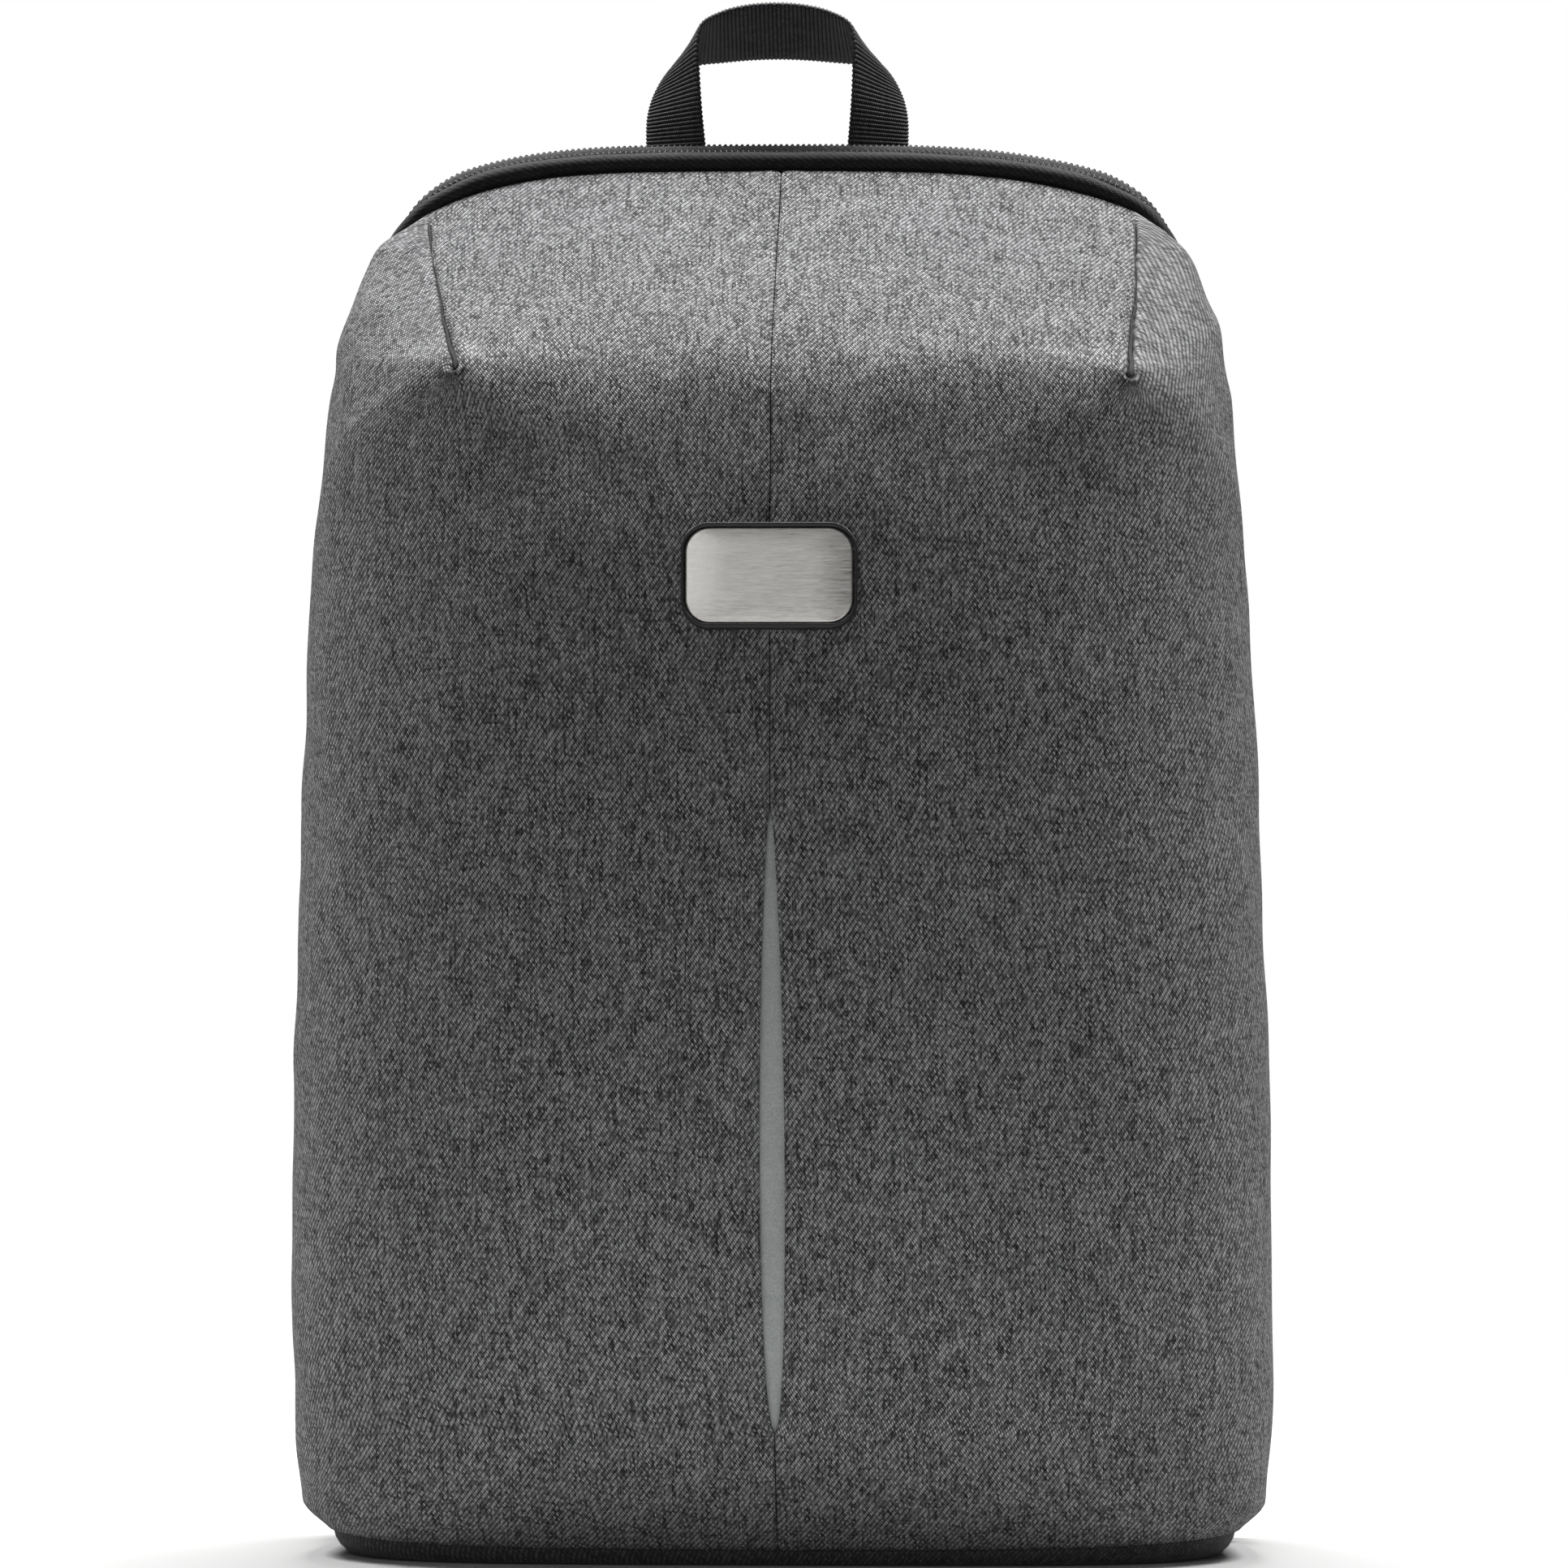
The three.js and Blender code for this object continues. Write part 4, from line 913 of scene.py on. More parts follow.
black_twill = woven("black_twill", twill, (0.006, 0.006, 0.006), (0.045, 0.045, 0.046), 0.08, streaks=0.3, rough=0.7)
finish_piece(tape, black_twill, "black_twill", "zip_tape")
finish_piece(piping, black_twill, "black_twill", "edge_piping")

# %% [markdown]
# ## Coil of the zip
# A coil zip has two rows of little nylon loops that interlock. Seen from outside each loop is a short slanting bead.
# One bead is a tube that is thick in the middle; numpy then sets down a copy at every pitch of both rows, with one
# row half a pitch ahead and slanting the other way. The loops are wound round a filler cord, a flat tube under them.

# %% Coil
COIL = {"y": 10, "end": 56, "pitch": 1.68, "row": 0.95, "reach": 1.15, "radius": 0.62, "slant": 0.36, "lift": 1.3,
        "bow": 0.35, "cord": (1.75, 1.12)}
BEAD_SIDES, BEAD_RINGS = 7, 6
CORD_SIDES, CORD_ROUND = 12, 8  # faces round the filler cord, and the way round it for its UV map


def bead_template(side):
    """One bead: rings of radius r sqrt(1 - 0.75 t^4) along t from -1 to 1, which bow outwards in the middle."""
    t, angle = np.meshgrid(np.linspace(-1, 1, BEAD_RINGS), full_turn(BEAD_SIDES), indexing="ij")
    radius = COIL["radius"] * np.sqrt(1 - 0.75 * t ** 4)
    across = COIL["reach"] * t
    along = side * COIL["slant"] * t + radius * np.cos(angle)
    return across, along, COIL["bow"] * (1 - t ** 2) + radius * np.sin(angle)


def coil_row(side):
    """The beads of one row: the template at every pitch of the rim above the coil's lower end."""
    across, along, lift = (part.ravel() for part in bead_template(side))
    kept = np.where(rim[:, 1] > COIL["end"])[0]
    places = np.arange(rim_length[kept[0]], rim_length[kept[-1]], COIL["pitch"]) + (COIL["pitch"] / 2) * (side > 0)
    at = places[:, None] + along[None]
    y = COIL["y"] + side * COIL["row"] + across[None] + 0 * at
    spot = np.stack([np.interp(at, rim_length, c) for c in rim.T], axis=-1)
    way = np.stack([np.interp(at, rim_length, c) for c in rim_out.T], axis=-1)
    rise, inset, wide = (np.interp(at, rim_length, c) for c in (tape_rise, tape_inset, tape_stretch))
    out = rise * (y - TAPE["y0"]) - inset + (TAPE["thick"] / 2 + GAP + COIL["lift"] + lift[None]) * wide
    flat = spot + way * out[..., None]
    return np.stack([flat[..., 0], y, flat[..., 1]], axis=-1)


def bead_piece(name, beads, rings, sides):
    """One mesh of many equal beads, each a closed tube of rings; beads holds the points of each bead in a row."""
    plain = grid_quads(rings, sides, True, False)
    single = outward_quads(beads[0].reshape(rings, sides, 3), plain, None)
    ends = np.array([np.arange(sides)[::-1], np.arange(sides) + (rings - 1) * sides])
    ends = ends if single is plain else ends[:, ::-1]
    offset = np.arange(len(beads))[:, None, None] * rings * sides
    faces = (single[None] + offset).reshape(-1, 4).tolist() + (ends[None] + offset).reshape(-1, sides).tolist()
    mesh = bpy.data.meshes.new(name)
    mesh.from_pydata(place(beads).reshape(-1, 3).tolist(), [], faces)
    return link_mesh(name, mesh)


beads_placed = np.concatenate([coil_row(-1), coil_row(1)])
coil = bead_piece("coil_teeth", beads_placed, BEAD_RINGS, BEAD_SIDES)
rows = np.where(rim[:, 1] > COIL["end"])[0]
turn = full_turn(CORD_SIDES)[None]
cord_y = COIL["y"] + COIL["cord"][0] * np.cos(turn)
cord_lift = (TAPE["thick"] / 2 + GAP + COIL["cord"][1] * (1 + np.sin(turn))) * tape_stretch[rows][:, None]
cord_points = beside_rim(rows, cord_y, tape_out(rows, cord_y) + cord_lift)
cord_uv = along_rim_uv(rows, np.linspace(0, CORD_ROUND, CORD_SIDES + 1))
cord = grid_piece("coil_cord", cord_points, tube=True, caps=BOTH_ENDS, uv=cord_uv)
coil_nylon = grained(
    "coil_nylon", (0.008, 0.008, 0.009), (0.016, 0.016, 0.017), (0.26, 0.36), relief=0.004, specular=0.16
)
finish_piece(coil, coil_nylon, "black_plastic", "zip_coil")
finish_piece(cord, black_twill, "black_plastic")
print("coil beads:", len(beads_placed))

# %% [markdown]
# ## Webbing weave
# Handle, tabs and strap webbing are narrow woven tapes. Their ribs run across the tape and are real geometry, because
# they show in the outline. The finer weave on the ribs is a second group with the same sockets as the twill.

# %% Webbing group
RIB_PITCH = 1.25
YARN_PITCH = 0.7  # of the finer weave, across the tape
webbing_weave, given, out = new_group("webbing_weave", WEAVE_IN, WEAVE_OUT)
x, y, _ = add_node(webbing_weave, "SeparateXYZ", {0: given["Position"]}).outputs
rib = calc(webbing_weave, "DIVIDE", y, RIB_PITCH)
yarn = calc(webbing_weave, "DIVIDE", x, YARN_PITCH)
shifted = calc(webbing_weave, "MULTIPLY_ADD", calc(webbing_weave, "ROUND", rib), 0.5, yarn)
hump, shade = yarn_cell(webbing_weave, shifted, rib)
lines = calc(webbing_weave, "MULTIPLY", streak(webbing_weave, x, y, 1.4, 12), given["Streaks"])
ridge = calc(webbing_weave, "POWER", calc(webbing_weave, "MAXIMUM", hump, 0.0), 1.6)
bright = calc(webbing_weave, "MULTIPLY", ridge, calc(webbing_weave, "MULTIPLY_ADD", shade, 0.5, 0.5))
level = calc(webbing_weave, "ADD", bright, lines, clamp=True)
webbing_weave.links.new(mix_colour(webbing_weave, level, given["Dark yarn"], given["Light yarn"]), out["Color"])
webbing_weave.links.new(hump, out["Height"])
black_webbing = woven(
    "black_webbing", webbing_weave, (0.004, 0.004, 0.004), (0.16, 0.16, 0.163), 0.12, streaks=0.2, rough=0.5, sheen=0.3
)
print("webbing group:", len(webbing_weave.nodes), "nodes")

# %% [markdown]
# ## Carry handle
# The handle is one piece of webbing. Its legs stand flat to the front, and over the top it turns on its edge, which
# is how webbing bends when it is sewn into a seam. Two curves give its front and rear edge; the tape lies between
# them, and its thickness follows the direction square to both. Ribs swell the faces and nibble at the edges.

# %% A curve through points
CURVE_POINTS = 4000  # for measuring a curve's length


def through(points, t):
    """Centripetal Catmull-Rom curve: cubic spans whose end slopes weigh neighbours by the root of their length."""
    p = np.asarray(points, float)
    p = np.vstack([2 * p[0] - p[1], p, 2 * p[-1] - p[-2]])
    place_on = np.clip(t, 0, 1) * (len(p) - 3)
    i = np.minimum(place_on.astype(int), len(p) - 4)
    w = (place_on - i)[:, None]
    a, b, c, d = (p[i + k] for k in range(4))
    spans = (b - a, c - b, d - c)
    ab, bc, cd = (np.maximum(np.linalg.norm(span, axis=1, keepdims=True), 1e-6) ** 0.5 for span in spans)
    slope_b = ((b - a) / ab - (c - a) / (ab + bc) + (c - b) / bc) * bc
    slope_c = ((c - b) / bc - (d - b) / (bc + cd) + (d - c) / cd) * bc
    bow = (2 * (b - c) + slope_b + slope_c) * w ** 3 + (-3 * (b - c) - 2 * slope_b - slope_c) * w ** 2
    return b + slope_b * w + bow


def even_shares(points_at, step):
    """Values of t at even lengths of about step along the curve points_at(t)."""
    t = np.linspace(0, 1, CURVE_POINTS)
    length = run_lengths(points_at(t))
    at = np.linspace(0, length[-1], int(length[-1] / step) + 1)
    return np.interp(at, length, t), at


def unit(v):
    """Vectors divided by their length."""
    return v / np.maximum(np.linalg.norm(v, axis=-1, keepdims=True), 1e-9)


# %% Ribbon of webbing
RIBBON_TURN = full_turn(30)
RIBBON_WIDE = squared(np.cos(RIBBON_TURN), 0.4)
RIBBON_HIGH = squared(np.sin(RIBBON_TURN), 0.5)
RIBBON_BACK = 40  # how far the two faces lie apart in the UV map


def ribbon(name, first, second, length, thick, rib):
    """Webbing between two edges: a flat superellipse section whose faces rise by rib cos(2 pi length / pitch)."""
    middle, across = (first + second) / 2, (second - first) / 2
    out = unit(np.cross(np.gradient(middle, axis=0), across))
    wave = rib * np.cos(2 * np.pi * length / RIB_PITCH)[:, None]
    wide = RIBBON_WIDE * (1 + 0.45 * wave * np.abs(RIBBON_WIDE) ** 6 / np.linalg.norm(across, axis=1)[:, None])
    high = RIBBON_HIGH * thick / 2 + wave * RIBBON_HIGH
    points = middle[:, None] + across[:, None] * wide[..., None] + out[:, None] * high[..., None]
    half_width = np.linalg.norm(across, axis=1).mean()
    side = np.append(RIBBON_WIDE, 1.0) * half_width + np.append(np.sign(RIBBON_HIGH), -1) * RIBBON_BACK
    uv = np.stack(np.broadcast_arrays(side[None], length[:, None]), axis=-1)
    cells = cell_corners(uv, len(length) - 1, len(RIBBON_TURN))
    return grid_piece(name, points, tube=True, caps=BOTH_ENDS, uv=cells)


# %% Handle
HANDLE_SHIFT, HANDLE_THICK, HANDLE_RIB = -2, 1.8, 0.27  # its shift to the left, its thickness and its ribs
HANDLE = np.array([
    # front edge x, y, z; rear edge x, y, z; from the right foot to the middle of the top
    (21.2, 15.4, 416.4, 39.6, 20.4, 416.4),
    (22.6, 14.8, 431, 39.3, 23.5, 428.5),
    (23.3, 14.2, 442.5, 36.9, 27.5, 436.3),
    (23.4, 13.6, 451, 32.6, 30, 442.2),
    (22, 13.2, 456, 25.5, 30, 444.5),
    (16, 13, 459.4, 16.5, 27, 445.2),
    (8, 12.8, 461.3, 8, 25, 445.7),
    (0, 12.8, 461.8, 0, 24.5, 445.9),
])
whole = np.vstack([HANDLE, HANDLE[-2::-1] * [-1, 1, 1, -1, 1, 1]]) + [HANDLE_SHIFT, 0, 0, HANDLE_SHIFT, 0, 0]
t, length = even_shares(lambda t: through((whole[:, :3] + whole[:, 3:]) / 2, t), 0.25)
handle = ribbon("handle_webbing", through(whole[:, :3], t), through(whole[:, 3:], t), length, HANDLE_THICK, HANDLE_RIB)
finish_piece(handle, black_webbing, "black_webbing", "carry_handle")
print(f"handle webbing: {length[-1]:.0f} mm long")

# %% [markdown]
# ## Base
# The base is a shallow tray of black twill under the cloth. Its outline is the lower seam of the cloth, closed across
# the back with rounded corners. Rings of that outline, each a little smaller, lead from the seam down to the ground
# and in under the bag.

# %% Base
BASE_BACK = {"y": 22.6, "radius": 14}
BASE_THICK = 1.6
BASE_UNDER = 6  # rings from this one on lie under the bag
BASE_RINGS = np.array([
    # share of the width, of the depth, and of the seam's height
    (0.989, 0.992, 1.2), (0.989, 0.992, 0.95), (0.985, 0.991, 0.7), (0.976, 0.986, 0.4),
    (0.962, 0.978, 0.15), (0.94, 0.965, 0.03), (0.91, 0.945, 0.0), (0.5, 0.5, 0.0), (0.04, 0.04, 0.0),
])
seam_s = np.concatenate([np.linspace(0, 1, 30)[:-1], np.linspace(1, 2, 24)[:-1], np.linspace(2, 3, 40)])
seam_line = cloth_points("right", np.full(len(seam_s), FOOT), seam_s)[::-1]
turn = np.linspace(0, np.pi / 2, 14)[1:]
back_x = seam_line[-1, 0] - BASE_BACK["radius"] * (1 - np.cos(turn))
back_y = BASE_BACK["y"] - BASE_BACK["radius"] * (1 - np.sin(turn))
right = np.vstack([seam_line, np.stack([back_x, back_y, np.full_like(turn, seam_line[-1, 2])], axis=-1)])
loop = np.vstack([right, right[::-1] * [-1, 1, 1]])
base_middle = (BASE_BACK["y"] - float(section("mid", FOOT))) / 2
base_points = np.stack([
    loop[None, :, 0] * BASE_RINGS[:, None, 0],
    base_middle + (loop[None, :, 1] - base_middle) * BASE_RINGS[:, None, 1],
    BASE_RINGS[:, None, 2] * (loop[None, :, 2] - 0.5),
], axis=-1)
base_uv = np.concatenate([base_points, base_points[:, :1]], axis=1)
base_run = run_lengths(base_uv[0, :, :2])
base_side = np.stack([np.broadcast_to(base_run, base_uv.shape[:2]), 30 + base_uv[..., 2]], axis=-1)
under = (np.arange(len(BASE_RINGS)) >= BASE_UNDER)[:, None, None]
base_cells = cell_corners(np.where(under, base_uv[..., :2], base_side), len(BASE_RINGS) - 1, len(loop))
base = grid_piece("base_cloth", base_points, tube=True, caps=("last",), inside=np.array([0, -30, 60.0]), uv=base_cells)
thicken(base, BASE_THICK)
# The same black twill as the piping, with lighter yarns: painted light that lifts the base, which lies in shade at the
# foot.
base_twill_painted_light = woven("base_twill_painted_light", twill, (0.010, 0.010, 0.010), (0.11, 0.11, 0.112), 0.1, streaks=0.3, rough=0.7)
finish_piece(base, base_twill_painted_light, "black_twill", "base_panel")

# %% [markdown]
# ## Shoulder straps
# A strap is a pad of foam in a cover: flat and wide, thin where it is sewn to the back, with bound edges. Its centre
# line hangs in a slack arc behind the bag. The pad is a flat rounded section carried along that line; the binding is
# a folded tape along both edges, a small rounded section of its own.

# %% Strap shapes
STRAP = np.array([
    # z, x, y, width, thickness from the top seam to the lower end
    (405, 41, 20.8, 53, 2.4), (394, 42, 26.4, 54, 3.6), (378, 43.5, 30, 58, 6.4), (345, 48, 42.6, 62, 8),
    (300, 56, 53.6, 62, 8), (245, 66, 56.6, 58, 8), (195, 76, 51.6, 50, 7.6), (162, 82.5, 45.6, 34, 6),
])
STRAP_WIDTH, STRAP_THICK = 3, 4  # columns of that table
STRAP_STEP = 1.6  # length between the rows of a strap's surfaces
PAD_TURN = full_turn(44)
PAD_HALF, PAD_BACK = 29, 80  # half the pad's width and the shift of its back, for its UV map


def strap_line(sign, t):
    """Centre line of a strap and its directions: along it, out from the back, and across."""
    line = through(np.stack([sign * STRAP[:, 1], STRAP[:, 2], STRAP[:, 0]], axis=-1), t)
    along = unit(np.gradient(line, axis=0))
    out = -unit(np.cross([1.0, 0, 0], along))
    return line, along, out, unit(np.cross(out, along))


def strap_size(z, column):
    """Width or thickness of a strap at a height."""
    return smooth(z, STRAP[::-1, 0], STRAP[::-1, column])


def strap_pad(sign):
    """Pad points: a superellipse of the strap's width and thickness, a little fuller in the middle of its length."""
    t, length = even_shares(lambda t: strap_line(sign, t)[0], STRAP_STEP)
    line, _, out, wide = strap_line(sign, t)
    u = squared(np.cos(PAD_TURN), 0.62)
    v = squared(np.sin(PAD_TURN), 0.62)
    width, thick = strap_size(line[:, 2], STRAP_WIDTH) / 2, strap_size(line[:, 2], STRAP_THICK) / 2
    pinch = 1 - 0.42 * np.abs(u)[None] ** 5
    ripple = 0.10 * np.sin(length / 11 + 2 * sign)[:, None] * (1 - np.abs(u)[None])
    high = thick[:, None] * v * pinch + ripple * np.sign(v)
    points = line[:, None] + wide[:, None] * (width[:, None] * u)[..., None] + out[:, None] * high[..., None]
    around = np.append(u, u[0]) * PAD_HALF + PAD_BACK * (np.append(v, v[0]) < 0)
    uv = np.stack(np.broadcast_arrays(around[None], length[:, None]), axis=-1)
    return points, cell_corners(uv, len(t) - 1, len(PAD_TURN))


# %% Spacer mesh
spacer, given, out = new_group("spacer_mesh", WEAVE_IN, WEAVE_OUT)
x, y, _ = add_node(spacer, "SeparateXYZ", {0: given["Position"]}).outputs
row = calc(spacer, "DIVIDE", y, 2.1)
stagger = calc(spacer, "MULTIPLY_ADD", calc(spacer, "ROUND", row), 0.5, calc(spacer, "DIVIDE", x, 2.6))
hole, shade = yarn_cell(spacer, stagger, row)
open_hole = calc(spacer, "SMOOTH_MIN", calc(spacer, "MULTIPLY", hole, 1.5), 1.0, 0.2)
solid = calc(spacer, "SUBTRACT", 1.0, open_hole)
level = calc(spacer, "MULTIPLY_ADD", solid, calc(spacer, "MULTIPLY_ADD", shade, 0.25, 0.75), 0.0, clamp=True)
spacer.links.new(mix_colour(spacer, level, given["Dark yarn"], given["Light yarn"]), out["Color"])
spacer.links.new(solid, out["Height"])
black_mesh = woven("black_mesh", spacer, (0.004, 0.004, 0.004), (0.035, 0.035, 0.036), 0.5, streaks=0.2, rough=0.8)

# %% Straps and their binding
BINDING_TURN = full_turn(14)
BINDING = {"inset": 1.6, "half": 2.6, "high": 1.25, "swell": 0.12, "round": 14}


def strap_binding(name, sign, edge):
    """A folded tape along one edge of a strap: an ellipse just inside the edge, higher where the strap is thicker."""
    t, length = even_shares(lambda t: strap_line(sign, t)[0], STRAP_STEP)
    line, _, out, wide = strap_line(sign, t)
    middle = line + wide * (edge * (strap_size(line[:, 2], STRAP_WIDTH) / 2 - BINDING["inset"]))[:, None]
    high = BINDING["high"] + BINDING["swell"] * strap_size(line[:, 2], STRAP_THICK)
    points = middle[:, None] + wide[:, None] * (BINDING["half"] * np.cos(BINDING_TURN))[:, None]
    points = points + out[:, None] * (high[:, None] * np.sin(BINDING_TURN))[..., None]
    around = np.linspace(0, BINDING["round"], len(BINDING_TURN) + 1)
    uv = np.stack(np.broadcast_arrays(around[None], length[:, None]), axis=-1)
    return grid_piece(name, points, tube=True, caps=BOTH_ENDS, uv=cell_corners(uv, len(t) - 1, len(BINDING_TURN)))


for half, (sign, _, _) in HALVES.items():
    points, uv = strap_pad(sign)
    pad = grid_piece(f"strap_pad_{half}", points, tube=True, caps=BOTH_ENDS, uv=uv)
    finish_piece(pad, black_mesh, "black_mesh", f"shoulder_strap_{half}")
    for edge, word in ((-1, "a"), (1, "b")):
        finish_piece(strap_binding(f"strap_binding_{half}_{word}", sign, edge), black_webbing, "black_webbing")

# %% [markdown]
# ## Adjusters, tabs and strap webbing
# At the lower end of each strap a webbing tab holds a ladder adjuster. The lower webbing is sewn to the back, comes
# up behind the adjuster, goes over its third bar and hangs down as a free tail. The adjuster is moulded plastic, a
# rounded frame with two bars inside; tab and webbing are the same ribbon as the handle.

# %% Adjuster parts
ADJUSTER = {"width": 32, "inside": 23, "thick": 3, "bar": 3, "slot": 4.6, "bars": 4}
WEBBING = {"width": 20, "thick": 1.6, "tail": 46, "sewn": 16}
WEBBING_FOOT = (108, 24.8, 40)  # x, y and z of its sewn lower end
TAB_SHOWN, TAB_SEWN = 10, 9.6  # from the strap's end to the adjuster, and how far up the tab's ends go
BAND_RIB = 0.09  # height of the ribs of tabs and strap webbing
BAR_PITCH = ADJUSTER["bar"] + ADJUSTER["slot"]
LADDER = ADJUSTER["bars"] * BAR_PITCH - ADJUSTER["slot"]
LADDER_MIDDLE = LADDER / 2


def strap_end(sign):
    """The adjuster's place at a strap's end: its origin and the directions across, down and out."""
    line, along, out, wide = strap_line(sign, np.linspace(0, 1, 2001))
    return line[-1] + along[-1] * (GAP + TAB_SHOWN), wide[-1], along[-1], out[-1]


def rounded_frame(put, width, height, radius, side, end, thick):
    """A rounded bar carried round a rounded rectangle; it is side wide at the sides and end wide at the ends."""
    outline, way = rounded_outline(width, height, radius, 9)
    wide = side * way[:, :1] ** 2 + end * way[:, 1:] ** 2
    turn = full_turn(16)
    share = 0.5 - 0.5 * squared(np.cos(turn), 0.5)
    high = squared(np.sin(turn), 0.5) * thick / 2
    flat = outline[:, None] - way[:, None] * (share[None, :, None] * wide[:, None])
    return put(flat[..., 0], flat[..., 1], np.broadcast_to(high, flat.shape[:2]))


def adjuster_frame(half):
    """The adjuster's outer frame, wide at the sides and narrow at the ends."""
    origin, across, down, out = strap_end(HALVES[half][0])
    side = (ADJUSTER["width"] - ADJUSTER["inside"]) / 2
    put = on_plane(origin + down * LADDER_MIDDLE, across, -down, out)
    points = rounded_frame(put, ADJUSTER["width"], LADDER, 3, side, ADJUSTER["bar"], ADJUSTER["thick"])
    return grid_piece(f"adjuster_frame_{half}", points, tube=True, ring=True)


def adjuster_bar(half, number):
    """One inner bar: a rounded square section across the frame, at this multiple of the bar pitch."""
    origin, across, down, out = strap_end(HALVES[half][0])
    turn = full_turn(14)
    b = number * BAR_PITCH + ADJUSTER["bar"] / 2
    b = b + squared(np.cos(turn), 0.6) * ADJUSTER["bar"] / 2
    n = squared(np.sin(turn), 0.6) * ADJUSTER["thick"] / 2 * 0.9
    a = np.linspace(-1, 1, 9) * (ADJUSTER["inside"] / 2 + 1)
    points = origin + a[:, None, None] * across + (b[None, :, None] * down + n[None, :, None] * out)
    return grid_piece(f"adjuster_bar_{half}_{number}", points, tube=True, caps=BOTH_ENDS)


for half in HALVES:
    finish_piece(adjuster_frame(half), satin_black, "black_plastic", f"strap_adjuster_{half}")
    for number in (1, 2):
        finish_piece(adjuster_bar(half, number), satin_black, "black_plastic")

# %% Tabs and webbing
BEND = ADJUSTER["thick"] / 2 + GAP + WEBBING["thick"] / 2


def band(name, path, across):
    """Strap webbing along a path of points with its width in the direction across, made square to the path."""
    t, length = even_shares(lambda t: through(path, t), 0.3)
    line = through(path, t)
    along = unit(np.gradient(line, axis=0))
    wide = unit(across - along * (along @ across)[:, None]) * WEBBING["width"] / 2
    return ribbon(name, line - wide, line + wide, length, WEBBING["thick"], BAND_RIB)


def strap_tab(half):
    """The tab: down the outer side, round the first bar and back up."""
    origin, across, down, out = strap_end(HALVES[half][0])
    turn = np.pi / 2 - np.linspace(0, 1, 9) * np.pi
    t = np.concatenate([[-TAB_SEWN], ADJUSTER["bar"] + GAP + WEBBING["thick"] / 2 * np.cos(turn), [-TAB_SEWN]])
    n = np.concatenate([[BEND], BEND * np.sin(turn), [-BEND]])
    return band(f"tab_{half}", origin + np.outer(t, down) + np.outer(n, out), across)


def strap_webbing(half):
    """The lower webbing: sewn foot, behind the adjuster, over the third bar, and the free tail."""
    sign = HALVES[half][0]
    origin, across, down, out = strap_end(sign)
    bar = 2 * BAR_PITCH
    foot = np.array([sign * WEBBING_FOOT[0], WEBBING_FOOT[1], WEBBING_FOOT[2]])
    route = np.array([
        (bar + 30, -BEND - 2), (bar + 8, -BEND - 0.4), (bar, -BEND), (bar - GAP - 0.9, -BEND * 0.62),
        (bar - GAP - 1.5, 0), (bar - GAP - 0.9, BEND * 0.62), (bar, BEND), (bar + 8, BEND + 0.3),
        (bar + WEBBING["tail"], BEND + 3),
    ])
    path = origin + np.outer(route[:, 0], down) + np.outer(route[:, 1], out)
    sewn = foot + [-sign * WEBBING["sewn"] * 0.25, 0.3, WEBBING["sewn"]]
    return band(f"webbing_{half}", np.vstack([foot, sewn, path]), across)


for half in HALVES:
    finish_piece(strap_tab(half), black_webbing, "black_webbing", f"strap_tab_{half}")
    finish_piece(strap_webbing(half), black_webbing, "black_webbing", f"strap_webbing_{half}")

# %% [markdown]
# ## Padded back
# The back is a foam pad under spacer mesh. It is sewn down along its border and along a flat channel in the middle,
# and swells between them. The pad starts as a patch between its four border curves, a little too thin. A cloth
# simulation with pressure inside then swells what isn't sewn down. Its movement is capped, so the pad stays clear of
# the straps, and one subdivision smooths the result.

# %% Patch for the pad
BACK = {"low": 9.2, "inset": 0.6, "inner": 13.6, "edge": 19.2, "crown": 21.6, "border": 9, "channel": 13}
BACK_ROWS, BACK_COLUMNS = 85, 59
PAD_EASE = 16  # from a sewn line to the pad's full height
CHANNEL_SHARE = 0.42  # half the channel's length, as a share of the pad's height
BACK_CORNER = 100  # where the top edge of the pad meets its sides


def evenly(points, count):
    """A polyline again with count points at even lengths."""
    length = run_lengths(points)
    return np.stack([np.interp(np.linspace(0, length[-1], count), length, c) for c in points.T], axis=-1)


def coons_patch(bottom, top, left, right):
    """Blend of two pairs of border curves, less the blend of the four corners, on an even grid."""
    w, u = np.linspace(0, 1, len(left))[:, None, None], np.linspace(0, 1, len(bottom))[None, :, None]
    corners = (1 - w) * ((1 - u) * bottom[0] + u * bottom[-1]) + w * ((1 - u) * top[0] + u * top[-1])
    return (1 - w) * bottom + w * top + (1 - u) * left[:, None] + u * right[:, None] - corners


edge_line = rim + rim_out * (tape_out(np.arange(len(rim)), TAPE["y1"]) - BACK["inset"])
turn_left = int(np.argmax(edge_line[:, 0] > -BACK_CORNER))
turn_right = int(np.argmax(edge_line[:, 0] > BACK_CORNER)) - 1
foot_x = np.linspace(edge_line[0, 0], edge_line[-1, 0], BACK_COLUMNS)
foot_line = np.stack([foot_x, np.full(BACK_COLUMNS, BACK["low"])], axis=-1)
left_line = evenly(np.vstack([foot_line[:1], edge_line[1 : turn_left + 1]]), BACK_ROWS)
right_line = evenly(np.vstack([edge_line[turn_right:-1], foot_line[-1:]]), BACK_ROWS)[::-1]
flat_back = coons_patch(foot_line, evenly(edge_line[turn_left : turn_right + 1], BACK_COLUMNS), left_line, right_line)
back_width, back_height = np.ptp(flat_back[..., 0]), np.ptp(flat_back[..., 1])
print(f"back pad: {back_width:.0f} x {back_height:.0f} mm")

